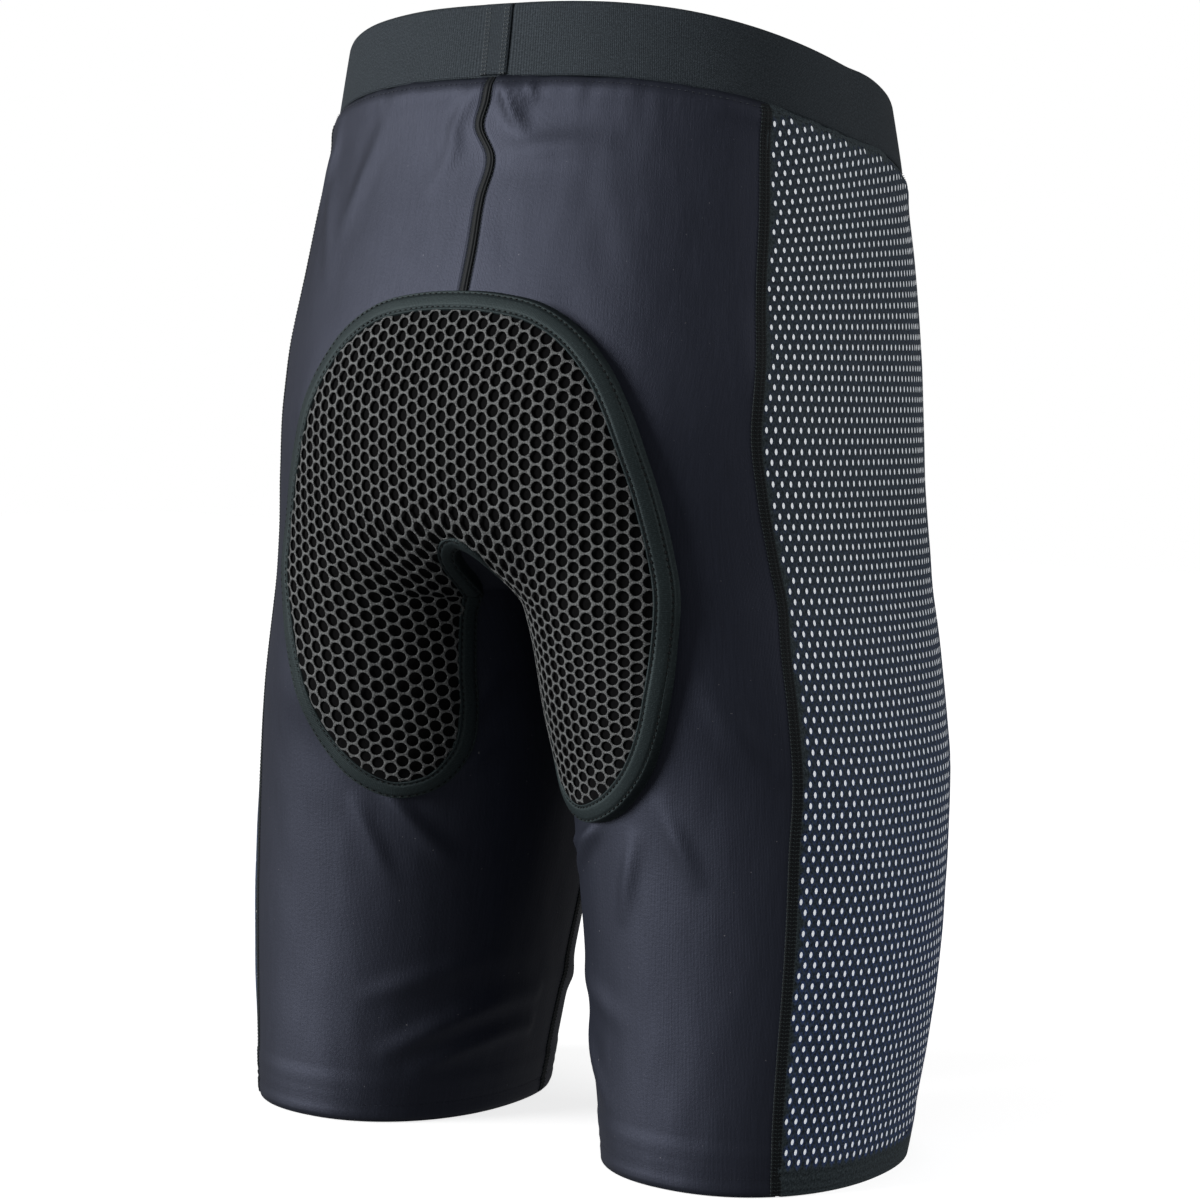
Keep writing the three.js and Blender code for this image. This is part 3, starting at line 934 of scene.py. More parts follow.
# %% Blank label
def care_label():
    label, shader = new_finish("label_cloth", 0.7, Sheen_Weight=0.2)
    weave = cloudy(label, mapped(label, (1 / 0.0006, 1 / 0.002, 1)), detail=3)
    join(label, blend_of(label, weave, srgb(214, 214, 210), srgb(232, 232, 228)),
         shader.inputs["Base Color"])
    bumped(label, shader, weave, 0.05 * mm, 0.5)
    low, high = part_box("care_label")
    width, height = high.x - low.x, 42 * mm
    flat = grid(14, 20)
    bmesh.ops.scale(flat, vec=(width, height, 1), verts=flat.verts)

    def place(x, y, _):
        z = waist_seam(0) - (height - y) - 0.3 * mm
        out = -(2.4 + 1.6 * ((height - y) / height) ** 2 + 0.5 * np.cos(x / width * 6)) * mm
        points = on_cloth(np.zeros_like(x), z, out=out, lifted=False)
        points[:, 0] = width / 2 - x
        return points

    lay(flat, place)
    piece = finished("care_label_cloth", flat, label, ["care_label"])
    thicken(piece, 0.3 * mm)


care_label()

# %% [markdown]
# ## Side mesh panels
#
# Over each hip and outer thigh the cloth is an open knit: rows of upright oval holes, each
# row half a hole along from the next, with pale foam showing through. Holes painted by a
# texture have no edge and no depth. Cutting three thousand holes with a boolean is slow. A
# grid turned by 45 degrees and squeezed is already a staggered lattice of diamonds: each
# diamond is inset, its middle is taken out, and one subdivision rounds the gap to an oval.

# %% Lay flat cloth round the side
side_pitch, side_row = 4.3 * mm, 4.6 * mm  # across and up, from hole to hole
grid_step = 2.5 * mm  # the height from row to row of the tables below
table_z = np.arange(-2 * grid_step, waist_back + grid_step, grid_step)
table_t = np.linspace(0.22, 0.8, 500)


def arc_table(reference, reach):
    """For each height, the t at every step of arc from a reference t."""
    steps = np.arange(-reach, reach + mm / 2, mm)
    rows = []
    for z in table_z:
        path = form(table_t, np.full_like(table_t, max(z, 0)))
        run = np.concatenate([[0], np.cumsum(np.linalg.norm(np.diff(path, axis=0), axis=1))])
        run -= np.interp(reference, table_t, run)
        rows.append(np.interp(steps, run, table_t))
    return steps, np.array(rows)


def looked_up(table, steps, s, z):
    """Reads a table of rows by height and columns by distance, between its entries."""
    i = np.clip((z - table_z[0]) / grid_step, 0, len(table_z) - 1.001)
    j = np.clip((s - steps[0]) / (steps[1] - steps[0]), 0, len(steps) - 1.001)
    a, b = i.astype(int), j.astype(int)
    low = mix(table[a, b], table[a, b + 1], j - b)
    high = mix(table[a + 1, b], table[a + 1, b + 1], j - b)
    return mix(low, high, i - a)


side_steps, side_table = arc_table(0.5, 120 * mm)


def side_spot(s, z):
    """The t and z of a flat place on the side panel. Rows tilt up to the front at the hip."""
    z = z + 0.2 * ease(z, 0.34, 0.5) * s
    return looked_up(side_table, side_steps, s, z), z


# %% [markdown]
# The knit is dull charcoal at the hip and bluer lower down. Round each hole the threads bend
# inwards, and the light and shade on the rims are painted: painted shade on each left rim and a
# painted blue highlight on each right rim. Two attributes say where the rims are, because a pattern
# alone would drift off the holes.

# %% Knit mesh finish
def mesh_cloth_finish():
    knit, shader = new_finish("side_mesh_cloth", 0.66)
    shader.inputs["Specular IOR Level"].default_value = 0.3
    shader.inputs["Specular Tint"].default_value = (*srgb(225, 240, 240), 1)
    rim = node(knit, "ShaderNodeAttribute", attribute_name="rim")
    painted_hole_shade = node(knit, "ShaderNodeAttribute", attribute_name="painted_hole_shade")
    ribs = banded(knit, mapped(knit, (1, 1 / side_row, 1)), direction="Y")
    threads = cloudy(knit, mapped(knit, (1 / 0.0009, 1 / 0.0014, 1)), detail=4, rough=0.8)
    split = node(knit, "ShaderNodeSeparateXYZ")
    join(knit, mapped(knit, (1, 1, 1)), split.inputs[0])
    low_down = sharpen(knit, split.outputs["Y"], 0.3, 0.1)
    spread = sharpen(knit, threads, 0.36, 0.66)
    dull = blend_of(knit, spread, srgb(12, 17, 22), srgb(74, 85, 91))
    # The blue colours are the painted highlight on the holes' right rims.
    dull_blue = blend_of(knit, spread, srgb(12, 16, 38), srgb(58, 72, 108))
    blue = blend_of(knit, spread, srgb(16, 24, 66), srgb(72, 104, 180))
    bluer = blend_of(knit, low_down, dull_blue, blue)
    # Painted shade, near black, on each hole's left rim.
    navy_rim_painted_lit_and_shaded = blend_of(knit, painted_hole_shade.outputs["Fac"], bluer, srgb(5, 6, 10))
    join(knit, blend_of(knit, rim.outputs["Fac"], dull, navy_rim_painted_lit_and_shaded), shader.inputs["Base Color"])
    first = bumped(knit, shader, ribs, 0.5 * mm, 0.6)
    bumped(knit, shader, threads, 0.3 * mm, 0.9, first)
    return knit


mesh_cloth = mesh_cloth_finish()


# %% Cut, punch and lay the mesh
hole_inset = 1.06 * mm
solid_hem = 13.5 * mm  # no holes below this height
solid_edge = 3.4 * mm  # nor nearer than this to a seam
panel_reach = 82 * mm  # the lattice reaches this far to each side before it is cut


def diamonds(half_width, height):
    """A staggered lattice of diamonds that covers a strip from the ground up."""
    cells = 2 * math.ceil(half_width / side_pitch + height / 2 / (2 * side_row)) + 2
    flat = bmesh.new()
    bmesh.ops.create_grid(flat, x_segments=cells, y_segments=cells, size=cells / 2 / math.sqrt(2))
    squeezed = Matrix.Diagonal((side_pitch, 2 * side_row, 1, 1))
    turned = Matrix.Rotation(math.pi / 4, 4, "Z")
    bmesh.ops.transform(flat, matrix=squeezed @ turned, verts=flat.verts)
    bmesh.ops.translate(flat, verts=flat.verts, vec=(0, height / 2, 0))
    return flat


def side_mesh(word, side):
    """Marks the diamonds to open, insets and removes them, and lays the rest on the side."""
    flat = diamonds(panel_reach, waist_back)
    centres = np.array([face.calc_center_median()[:2] for face in flat.faces])
    t, z = side_spot(*centres.T)
    inside = (t > back_seam(z)) & (t < front_seam(z)) & (z > -side_row)
    inside &= z - side_row < waist_seam(t) - 0.1 * mm
    width = np.linalg.norm(tangents(t, z)[0], axis=-1)
    margin = np.minimum(t - back_seam(z), front_seam(z) - t) * width
    solid = (z < solid_hem) | (margin < solid_edge) | (z + side_row > waist_seam(t))
    faces = flat.faces[:]
    holed = [face for face, keep, whole in zip(faces, inside, solid) if keep and not whole]
    spare = [face for face, keep in zip(faces, inside) if not keep]
    rim = flat.verts.layers.float.new("rim")
    painted_hole_shade = flat.verts.layers.float.new("painted_hole_shade")
    bmesh.ops.inset_individual(flat, faces=holed, thickness=hole_inset, use_even_offset=True)
    # Every hole's rim takes the painted rim colour, and its left rim takes painted shade.
    for face in holed:
        middle = face.calc_center_median().x
        for vert in face.verts:
            vert[rim] = 1.0
            vert[painted_hole_shade] = float(vert.co.x < middle - 0.1 * mm)
    bmesh.ops.delete(flat, geom=holed + spare, context="FACES")

    def place(x, y, _):
        t, z = side_spot(x, y)
        t = np.clip(t, back_seam(z) + 0.0005, front_seam(z) - 0.0005)
        z = np.clip(z, 0, waist_seam(t) + 0.3 * mm)
        return on_cloth(t, z, out=0.3 * mm, side=side)

    lay(flat, place, turn=side > 0)
    piece = finished(f"side_mesh_panel_{word}_cloth", flat, mesh_cloth,
                     [f"side_mesh_panel_{word}"])
    round_off(piece)
    print(f"{len(holed)} holes")


for side, word in ((-1, "right"), (1, "left")):
    side_mesh(word, side)

# %% [markdown]
# ## Hip and thigh padding
#
# A thin sheet of pale foam lies behind each mesh panel, held by a dark lining. The foam is
# soft and its edge is rounded. Mostly its outer face shows, through the holes, and a little
# painted glow, an emission, stands for the light that such foam lets through. Both layers
# follow the mesh's own folds, so they never come through it.

# %% Foam finish and side pads
def foam_finish(name, dark, light, painted_glow=0.0):
    foam, shader = new_finish(name, 0.85)
    shader.inputs["Specular IOR Level"].default_value = 0.1
    cells = cloudy(foam, mapped(foam, (1 / 0.0009,) * 3, own_map=False), detail=3, rough=0.7)
    join(foam, blend_of(foam, cells, dark, light), shader.inputs["Base Color"])
    bumped(foam, shader, cells, 0.2 * mm, 0.6)
    # Painted light: the pale foam glows, though it is no lamp.
    if painted_glow:
        shader.inputs["Emission Color"].default_value = (0.93, 0.97, 1, 1)
        shader.inputs["Emission Strength"].default_value = painted_glow
    return foam


pale_foam = foam_finish("pale_foam", srgb(232, 236, 238), srgb(252, 253, 254), painted_glow=0.55)
black_foam = foam_finish("black_foam", srgb(2, 2, 3), srgb(7, 7, 8))
pad_margin = 0.012  # of the side panel's width, from each seam
pad_thickness = 5 * mm
pad_low = 12 * mm  # the height of its lower edge
pad_drop = 3 * mm  # from the band down to its upper edge
pad_width, pad_length = 0.145, 0.44  # of its flat map


def behind_mesh(word, side, name, out, thickness, material, slot, node_name):
    """A layer behind the side mesh, out being the place of its outer face off the cloth."""
    flat = grid(36, 110)
    width, height = pad_width, pad_length
    bmesh.ops.scale(flat, vec=(width, height, 1), verts=flat.verts)
    start = lambda z: mix(back_seam(z), front_seam(z), pad_margin)
    stop = lambda z: mix(back_seam(z), front_seam(z), 1 - pad_margin)

    def place(x, y, _):
        t = np.full_like(x, 0.5)
        for _ in range(4):
            z = mix(pad_low, waist_seam(np.clip(t, 0, 1)) - pad_drop, y / height)
            t = mix(start(z), stop(z), x / width)
        edge = rolled(x, width, 1.2 * mm, 0.8 * mm) + rolled(y, height, 2 * mm, mm)
        lift = cloth_lift(t, z, form(t, z) * np.array([-side, 1, 1]))
        return on_cloth(t, z, out=out + lift - edge, side=side, lifted=False)

    lay(flat, place, turn=side > 0)
    piece = finished(f"{name}_{word}_{slot}", flat, material, [node_name])
    thicken(piece, thickness)
    return piece


for side, word in ((-1, "right"), (1, "left")):
    foam_node, lining_node = f"side_pad_foam_{word}", f"side_pad_lining_{word}"
    foam = behind_mesh(word, side, "side_pad", -0.35 * mm, pad_thickness, pale_foam, "pale_foam",
                       foam_node)
    lining = behind_mesh(word, side, "side_pad_lining", -0.9 * mm - pad_thickness, 0.8 * mm,
                         mesh_cloth, "side_mesh_cloth", lining_node)

# %% [markdown]
# ## Tail pad
#
# A horseshoe of foam is sewn over the seat, open at the bottom so that the legs can move. An
# open honeycomb of spacer mesh covers it, and a smooth tape binds the edge. Its outline is
# drawn as seen from behind, through a few points, and then laid on the seat.

# %% The horseshoe's outline
binding_low, binding_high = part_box("tail_pad_binding")
tape_lift = 3.1 * mm  # the tape's thickness leans outwards this far at the sides
half_width = (binding_high.x - binding_low.x) / 2 - tape_lift
lowest = binding_low.z + 0.2 * mm
pad_height = 233 * mm
# The right half, from the top of the arch round the lobe's tip and up to the top, in shares
# of the half width and of the height.
half_outline = [
    (0, 0.53), (0.075, 0.51), (0.126, 0.46), (0.182, 0.385), (0.21, 0.28), (0.224, 0.185),
    (0.271, 0.09), (0.364, 0.025), (0.514, 0), (0.682, 0.028), (0.832, 0.1), (0.925, 0.185),
    (0.972, 0.275), (0.995, 0.37), (1, 0.45), (0.967, 0.54), (0.925, 0.625), (0.874, 0.705),
    (0.804, 0.79), (0.71, 0.865), (0.579, 0.93), (0.411, 0.975), (0.206, 0.995),
]
whole_outline = [(-x, z) for x, z in half_outline] + [(0, 1)] + half_outline[:0:-1]


def closed_curve(points, steps=40):
    """A smooth closed curve through points, as two thousand steps of equal length."""
    rounds = []
    for i in range(len(points)):
        a, b, c, d = (points[(i + k) % len(points)] for k in (-1, 0, 1, 2))
        k0 = 0
        k1 = k0 + np.linalg.norm(b - a) ** 0.5
        k2 = k1 + np.linalg.norm(c - b) ** 0.5
        k3 = k2 + np.linalg.norm(d - c) ** 0.5
        k = np.linspace(k1, k2, steps, endpoint=False)[:, None]
        ab = mix(a, b, (k - k0) / (k1 - k0))
        bc = mix(b, c, (k - k1) / (k2 - k1))
        cd = mix(c, d, (k - k2) / (k3 - k2))
        abc = mix(ab, bc, (k - k0) / (k2 - k0))
        bcd = mix(bc, cd, (k - k1) / (k3 - k1))
        rounds.append(mix(abc, bcd, (k - k1) / (k2 - k1)))
    path = np.concatenate(rounds + [rounds[0][:1]])
    run = np.concatenate([[0], np.cumsum(np.linalg.norm(np.diff(path, axis=0), axis=1))])
    even = np.linspace(0, run[-1], 2001)
    return np.stack([np.interp(even, run, path[:, k]) for k in (0, 1)], -1), run[-1]


scaled = [np.array((x * half_width, lowest + z * pad_height)) for x, z in whole_outline]
outline, outline_length = closed_curve(scaled)
heading = np.gradient(outline, axis=0)
heading[[0, -1]] = outline[1] - outline[-2]
heading /= np.linalg.norm(heading, axis=1, keepdims=True)
inwards = np.stack([heading[:, 1], -heading[:, 0]], -1)
print(f"outline {outline_length:.3f} m long")


# %% Lay a place that is seen from behind on the seat
def on_seat(x, z, out):
    """Points off the cloth, whose places seen from behind are x and z. Halving the range of
    t again and again finds the one that is seen at x."""
    low, high = np.zeros_like(x), np.full_like(x, 0.5)
    for _ in range(26):
        t = (low + high) / 2
        short = -form(t, z)[:, 0] < abs(x)
        low, high = np.where(short, t, low), np.where(short, high, t)
    points = form(low, z) + tangents(low, z)[2] * np.asarray(out)[..., None]
    points[:, 0] *= -np.sign(x)
    return points


# %% [markdown]
# Where the cloth turns away, a strip seen from behind looks narrower than it is. So that the
# tape keeps its width round the whole edge, each distance inside the outline is squeezed by
# how much the seat stretches it there.

# %% Distances inside the outline
binding_width = 10 * mm


def squeeze_along():
    """At each point of the outline, the distance seen from behind for each one on the seat."""
    edge = on_seat(outline[:, 0] + 1e-6, outline[:, 1], np.zeros(len(outline)))
    seen = outline + inwards * binding_width / 2
    inner = on_seat(seen[:, 0] + 1e-6, seen[:, 1], np.zeros(len(outline)))
    ratio = binding_width / 2 / np.linalg.norm(inner - edge, axis=1)
    ratio = np.clip(ratio, 0.45, 1)
    window = np.ones(121) / 121
    return np.convolve(np.concatenate([ratio[-61:-1], ratio, ratio[1:61]]), window, "valid")


squeeze = squeeze_along()
print(f"distances are squeezed to {squeeze.min():.2f} at most")


def outline_at(share, inset):
    """Places a distance inside the outline, at shares of the way round it."""
    i = (share % 1) * (len(outline) - 1)
    a = i.astype(int)
    b = (a + 1) % len(outline)
    part = (i - a)[:, None]
    aside = mix(inwards[a] * squeeze[a, None], inwards[b] * squeeze[b, None], part)
    return mix(outline[a], outline[b], part) + aside * np.asarray(inset)[..., None]


# %% A layer of the pad, from lobe tip to lobe tip
tip_share = 0.158  # share of the outline from the top of the arch to a lobe's tip
tip_cut = 0.02  # share of the horseshoe's length left out at each tip, below the tape
pad_inset = binding_width - 2.5 * mm  # the layers' edges lie this far inside the outline
base, foam_edge, foam_crown = 4.6 * mm, 6.4 * mm, 8.6 * mm  # heights off the cloth
pad_map_length, pad_map_width = 0.5, 0.09


def crown_of(across, along):
    """1 along the middle of the horseshoe and 0 at its edges and tips."""
    return np.sqrt(4 * across * (1 - across) * (1 - (2 * along - 1) ** 8))


def pad_layer(columns, rows, height_of):
    """A grid that runs from lobe tip to lobe tip over the arch, inside the binding."""
    flat = grid(columns, rows)
    bmesh.ops.scale(flat, vec=(pad_map_length, pad_map_width, 1), verts=flat.verts)

    def place(x, y, _):
        along = mix(1 - tip_cut, tip_cut, x / pad_map_length)
        across = np.clip(y / pad_map_width, 0, 1)
        inner = outline_at(tip_share * (1 - 2 * along), np.full_like(x, pad_inset))
        outer = outline_at(tip_share + (1 - 2 * tip_share) * along, np.full_like(x, pad_inset))
        spot = mix(inner, outer, across[:, None])
        return on_seat(*spot.T, height_of(crown_of(across, along)))

    lay(flat, place)
    return flat


# %% Backing and foam
backing_shape = pad_layer(90, 18, lambda crown: 3.6 * mm + 0 * crown)
backing = finished("tail_pad_backing_cloth", backing_shape, body_cloth,
                   ["tail_pad_backing"])
thicken(backing, 0.8 * mm)
foam_shape = pad_layer(160, 36, lambda crown: mix(foam_edge, foam_crown, crown))
tail_foam = finished("tail_pad_foam_core", foam_shape, black_foam, ["tail_pad_foam"])
thicken(tail_foam, foam_edge - base)

# %% [markdown]
# ### Honeycomb mesh
#
# The cover is a knitted spacer mesh: grey strands round open cells, six millimetres from
# cell to cell, with the black foam below. It is made like the side mesh, from a lattice whose
# cells are inset and opened, but the cells are hexagons: two of them are the repeat. A wall
# and one subdivision make the strands round.

# %% Flat places on the seat
cell_pitch = 6.1 * mm
seat_x = np.arange(0, 122) * mm
reference_x = 60 * mm  # cells keep their places here, in the middle of each lobe
strand_inset = 0.28 * mm  # half a strand's width
strand_thickness = 0.6 * mm
strand_lift = 1.3 * mm  # the strands' outer face above the foam


def seat_tables():
    """For each height, the x seen from behind at each step of arc from the centre."""
    steps = np.arange(0, 175) * mm
    rows = []
    for z in table_z:
        spots = on_seat(seat_x + 1e-6, np.full_like(seat_x, max(z, 0)), 0 * seat_x)
        run = np.concatenate([[0], np.cumsum(np.linalg.norm(np.diff(spots[:, :2], axis=0), axis=1))])
        run += reference_x - np.interp(reference_x, seat_x, run)
        joined = ease(z, crotch + 5 * mm, crotch + 40 * mm)
        run -= run[0] * joined * np.clip(1 - seat_x / reference_x, 0, 1)
        rows.append(np.interp(steps, run, seat_x))
    return steps, np.array(rows)


seat_steps, seat_table = seat_tables()


def inside_outline(x, z, inset):
    """Whether places seen from behind lie within the outline, by an even-odd count."""
    ring = outline[::10] + inwards[::10] * squeeze[::10, None] * inset
    inside = np.zeros(len(x), bool)
    for (ax, az), (bx, bz) in zip(ring, np.roll(ring, -1, axis=0)):
        crosses = (az > z) != (bz > z)
        inside ^= crosses & (x < (bx - ax) * (z - az) / (bz - az + 1e-12) + ax)
    return inside


# %% Spacer mesh finish
def spacer_finish():
    strand, shader = new_finish("spacer_mesh", 0.55)
    shader.inputs["Specular IOR Level"].default_value = 0.35
    fibres = cloudy(strand, mapped(strand, (1 / 0.0006,) * 3), detail=4, rough=0.75)
    # Painted light and shade at random: some stretches of strand lighter as if lit, some darker as
    # if hidden.
    painted_strand_light_and_shade = cloudy(strand, mapped(strand, (1 / 0.003,) * 3), detail=2)
    base = blend_of(strand, sharpen(strand, painted_strand_light_and_shade, 0.35, 0.65), srgb(34, 35, 36), srgb(88, 90, 90))
    shown = sharpen(strand, fibres, 0.44, 0.68)
    fluffy = blend_of(strand, shown, base, srgb(138, 140, 140))
    join(strand, fluffy, shader.inputs["Base Color"])
    bumped(strand, shader, fibres, 0.3 * mm, 0.9)
    return strand


spacer_mesh = spacer_finish()


# %% Honeycomb, opened and laid
def honeycomb():
    """A flat field of joined hexagons. Two of them, side by side, are the repeat."""
    radius = cell_pitch / math.sqrt(3)
    flat = bmesh.new()
    for x, y in ((0, 0), (1.5 * radius, cell_pitch / 2)):
        spot = Matrix.Translation((x, y, 0)) @ Matrix.Rotation(math.pi / 6, 4, "Z")
        bmesh.ops.create_circle(flat, cap_ends=True, segments=6, radius=radius, matrix=spot)
    repeated(flat, math.ceil(0.34 / (3 * radius)), (3 * radius, 0, 0))
    repeated(flat, math.ceil(0.26 / cell_pitch), (0, cell_pitch, 0))
    bmesh.ops.remove_doubles(flat, verts=flat.verts, dist=0.1 * mm)
    middle = sum((v.co.x for v in flat.verts)) / len(flat.verts)
    bmesh.ops.translate(flat, verts=flat.verts, vec=(-middle, lowest - 5 * mm, 0))
    return flat


def seat_spot(s, z):
    """The x seen from behind of a flat place on the seat."""
    return np.sign(s) * looked_up(seat_table, seat_steps, abs(s), z)


def crown_at(x, z):
    """The foam's height off the cloth at a place seen from behind. It dips below the tape."""
    apart = np.full(len(x), 1.0)
    for (ax, az), narrow in zip(outline[::10], squeeze[::10]):
        apart = np.minimum(apart, np.hypot(x - ax, z - az) / narrow)
    depth = np.clip((apart - binding_width) / (32 * mm), 0, 1)
    dip = 2.6 * mm * (1 - ease(apart, binding_width - 3.5 * mm, binding_width - 1.0 * mm))
    return mix(foam_edge, foam_crown, np.sqrt(depth * (2 - depth))) - dip


def unevenly(x, y):
    """Where a flat place lies once the knit has pulled about a little and tilted below."""
    spots = np.stack([x, y, np.zeros_like(x)], -1)
    x = x + 0.35 * mm * slow_noise(spots, 7 * mm, 21)
    y = y + 0.45 * mm * slow_noise(spots, 9 * mm, 34) - 0.12 * x * ease(-y, -0.26, -0.17)
    return seat_spot(x, y), y


def tail_mesh():
    """Cuts the honeycomb to the outline, opens its cells and lays it over the foam."""
    flat = honeycomb()
    spots = np.array([v.co[:2] for v in flat.verts])
    kept = inside_outline(*unevenly(*spots.T), 2 * mm)
    outside = [v for v, keep in zip(flat.verts[:], kept) if not keep]
    bmesh.ops.delete(flat, geom=outside, context="VERTS")
    cells = flat.faces[:]
    bmesh.ops.inset_individual(flat, faces=cells, thickness=strand_inset, use_even_offset=True)
    bmesh.ops.delete(flat, geom=cells, context="FACES")

    def place(x, y, _):
        across, up = unevenly(x, y)
        return on_seat(across, up, crown_at(across, up) + strand_lift)

    lay(flat, place, turn=True)
    piece = finished("tail_pad_mesh_strands", flat, spacer_mesh, ["tail_pad_mesh"])
    thicken(piece, strand_thickness)
    round_off(piece)
    print(len(cells), "cells")


tail_mesh()

# %% [markdown]
# ### Binding
#
# A smooth knit tape ten millimetres wide is folded over the horseshoe's edge, the arch
# included, and held by a row of stitches along each side. It swells a little between them.
# One strip is laid round the whole outline and welded to itself, so it has no ends.

# %% Binding finish
def binding_finish():
    binding, shader = new_finish("binding_cloth", 0.6)
    shader.inputs["Specular IOR Level"].default_value = 0.45
    shader.inputs["Specular Tint"].default_value = (*srgb(215, 240, 242), 1)
    ribs = banded(binding, mapped(binding, (1 / 0.0008, 1, 1)), distortion=0.8)
    clouds = cloudy(binding, mapped(binding, (1 / 0.02, 1 / 0.01, 1)), detail=5)
    fuzz = cloudy(binding, mapped(binding, (1 / 0.0009,) * 3), detail=3, rough=0.7)
    base = blend_of(binding, clouds, srgb(17, 23, 25), srgb(27, 34, 36))
    shown = sharpen(binding, fuzz, 0.5, 0.75)
    join(binding, blend_of(binding, shown, base, srgb(46, 55, 57)), shader.inputs["Base Color"])
    first = bumped(binding, shader, ribs, 0.08 * mm, 0.6)
    bumped(binding, shader, fuzz, 0.2 * mm, 0.7, first)
    return binding


binding_cloth = binding_finish()
binding_rows = (1.7 * mm, 8.0 * mm)  # the stitch rows, in from the outline
stitch_pitch = 3.1 * mm
tape_outside = 0.8 * mm  # the tape's outer edge turns down this far outside the outline


# %% Tape round the horseshoe
def tape_height(inset, run):
    """The tape's outer face above the cloth, across its width."""
    share = np.clip(inset / binding_width, 0, 1)
    rise = 5.9 * ease(inset, -0.7 * mm, 0.9 * mm)
    height = rise + 2.1 * share + 0.55 * np.sin(np.pi * share)
    height -= 2.2 * ease(inset, binding_width - 0.9 * mm, binding_width + 0.5 * mm)
    swell = np.cos(2 * np.pi * run / stitch_pitch)
    for row in binding_rows:
        near = np.exp(-(((inset - row) / (0.6 * mm)) ** 2))
        height -= near * (0.55 + 0.2 * swell)
    return height * mm


def binding_tape():
    """The tape, as one strip round the outline."""
    flat = grid(620, 26)
    across = binding_width + 1.3 * mm
    bmesh.ops.scale(flat, vec=(outline_length, across, 1), verts=flat.verts)

    def place(x, y, _):
        inset = y - tape_outside
        spot = outline_at(x / outline_length, inset)
        uneven = 0.25 * mm * np.sin(x / (17 * mm)) * np.sin(x / (9 * mm) + 1)
        return on_seat(*spot.T, tape_height(inset, x) + uneven)

    lay(flat, place)
    bmesh.ops.remove_doubles(flat, verts=flat.verts, dist=0.02 * mm)
    piece = finished("tail_pad_binding_tape", flat, binding_cloth,
                     ["tail_pad_binding"])


def binding_stitches(number, row):
    """A row of stitches round the whole tape, at a distance inside the outline."""
    unit = beads((1.5, 0, 2.0, 0.75, 0.8, 6))
    count = int(outline_length / stitch_pitch)
    flat = repeated(unit, count, (outline_length / count, 0, 0))

    def place(x, y, up):
        spot = outline_at(x / outline_length, row + y)
        return on_seat(*spot.T, tape_height(np.full_like(x, row), x) + up)

    lay(flat, place)
    finished(f"tail_pad_binding_stitches_{number}", flat, dark_thread)


binding_tape()
for number, row in enumerate(binding_rows, 1):
    binding_stitches(number, row)

# %% [markdown]
# ## Camera, light and floor
#
# The shorts are seen from behind and a little to the wearer's right, from just above the
# hips. Dark stretch cloth shows its shape only by its sheen, so one low, broad key light
# stands far to the left and leaves the right side dim, and a weak light behind edges that
# side. White walls and a white floor are seen, but give little light back: more would wash
# the sheen out.

# %% Camera
camera_turn, camera_roll = 213.66, 1.25  # in degrees: 0 looks at the front, 180 at the back
camera_distance, camera_height = 1.36235, 0.35538
aim_aside, aim_height = -0.0012, 0.24738
form_shift = -0.0102947  # the camera turns about a point this far in front of the origin
camera_data = bpy.data.cameras.new("camera")
camera_data.lens = 85.82
camera_data.sensor_width = 36
camera = bpy.data.objects.new("camera", camera_data)
bpy.context.scene.collection.objects.link(camera)
bpy.context.scene.camera = camera
turn = math.radians(camera_turn)
towards = Vector((math.sin(turn), -math.cos(turn), 0))
eye = towards * camera_distance + Vector((0, form_shift, camera_height))
level = (-towards).cross(Vector((0, 0, 1)))
aim = level * aim_aside + Vector((0, form_shift, aim_height))
camera.matrix_world = (
    Matrix.Translation(eye) @ (aim - eye).to_track_quat("-Z", "Y").to_matrix().to_4x4()
    @ Matrix.Rotation(math.radians(camera_roll), 4, "Z")
)
print("camera at", [round(value, 3) for value in eye])

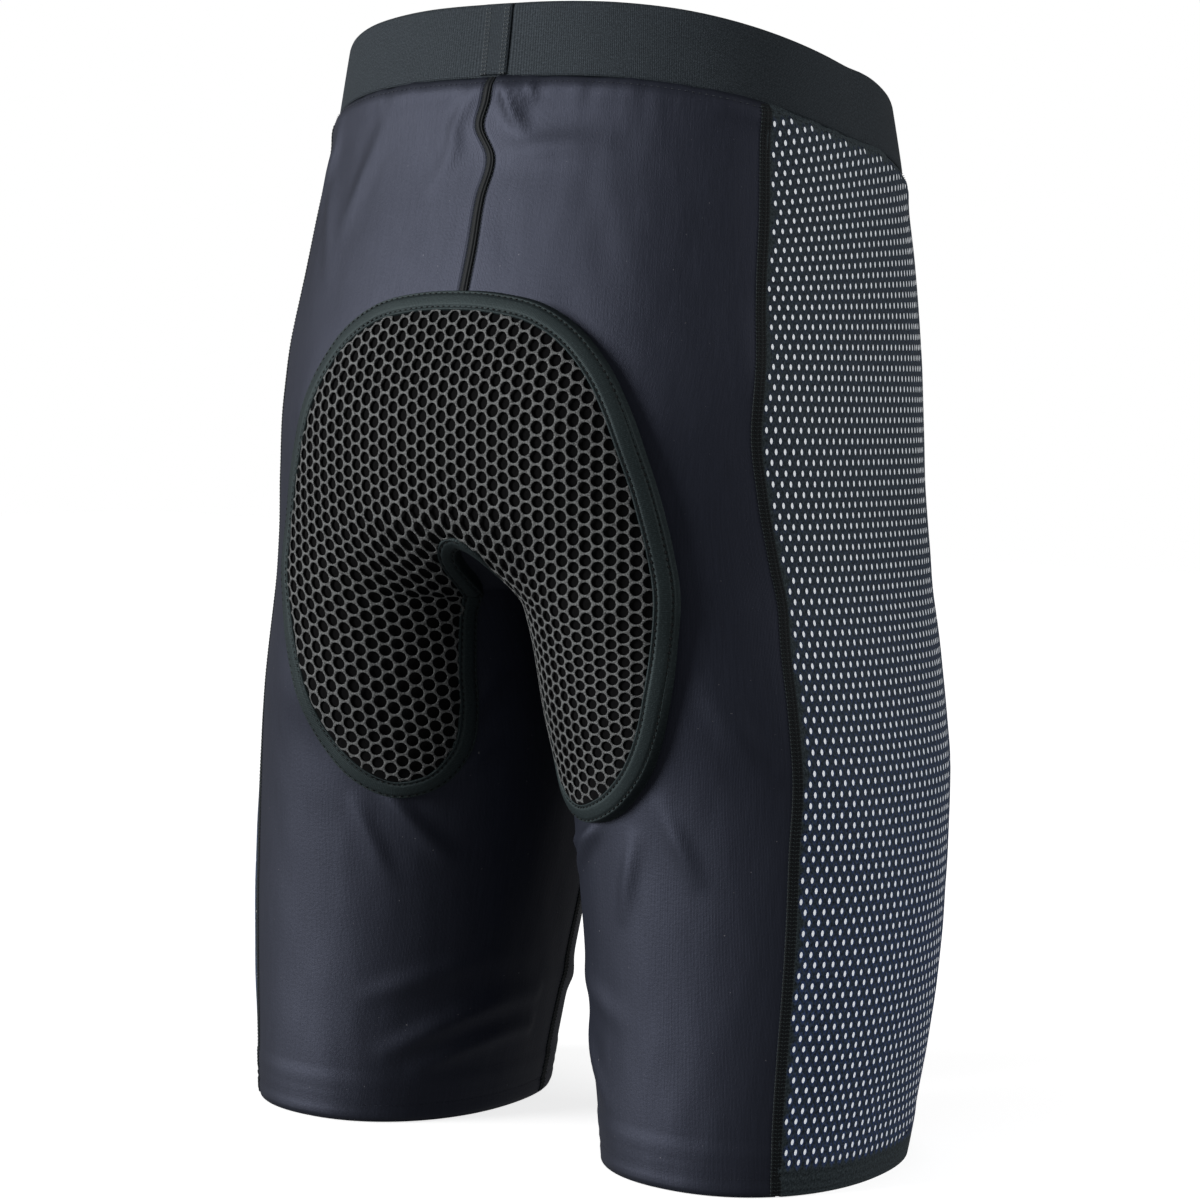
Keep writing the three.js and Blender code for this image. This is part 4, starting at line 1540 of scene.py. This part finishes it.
# %% Lights and white walls
light_aim = Vector((0, 0, 0.25))


def aimed(name, kind, place, **settings):
    """A light that looks at the middle of the shorts."""
    data = bpy.data.lights.new(name, kind)
    for key, value in settings.items():
        setattr(data, key, value)
    lamp = bpy.data.objects.new(name, data)
    bpy.context.scene.collection.objects.link(lamp)
    lamp.location = place
    lamp.rotation_euler = (light_aim - Vector(place)).to_track_quat("-Z", "Y").to_euler()


aimed("key", "SUN", (1.5, 1.61, 0.7), energy=3.35, angle=math.radians(26))
aimed("rim", "AREA", (-2.2, -0.6, 1.2), energy=17, size=1.4)


def studio_world(seen, felt):
    """Plain white all round: brighter where it is seen than where it lights the shorts."""
    world = bpy.data.worlds.new("studio")
    world.use_nodes = True
    tree = world.node_tree
    path = tree.nodes.new("ShaderNodeLightPath")
    strength = tree.nodes.new("ShaderNodeMapRange")
    strength.inputs["To Min"].default_value = felt
    strength.inputs["To Max"].default_value = seen
    tree.links.new(path.outputs["Is Camera Ray"], strength.inputs["Value"])
    tree.nodes["Background"].inputs["Color"].default_value = (1, 1, 1, 1)
    tree.links.new(strength.outputs["Result"], tree.nodes["Background"].inputs["Strength"])
    bpy.context.scene.world = world


studio_world(seen=1.0, felt=0.17)
bpy.context.scene.view_settings.view_transform = "Standard"

# %% Floor
floor_shape = grid(4, 4)
bmesh.ops.scale(floor_shape, vec=(8, 8, 1), verts=floor_shape.verts)
bmesh.ops.translate(floor_shape, vec=(-4, -4, -0.0005), verts=floor_shape.verts)
floor_mesh = bpy.data.meshes.new("floor")
floor_shape.to_mesh(floor_mesh)
floor_shape.free()
floor_finish, floor_shader = new_finish("floor", 0.9, (0.8, 0.8, 0.8), Emission_Strength=0.78)
floor_shader.inputs["Emission Color"].default_value = (1, 1, 1, 1)
floor_shader.inputs["Specular IOR Level"].default_value = 0.0
floor_mesh.materials.append(floor_finish)
floor = bpy.data.objects.new("floor", floor_mesh)
floor.visible_diffuse = False
floor.visible_glossy = False
bpy.context.scene.collection.objects.link(floor)
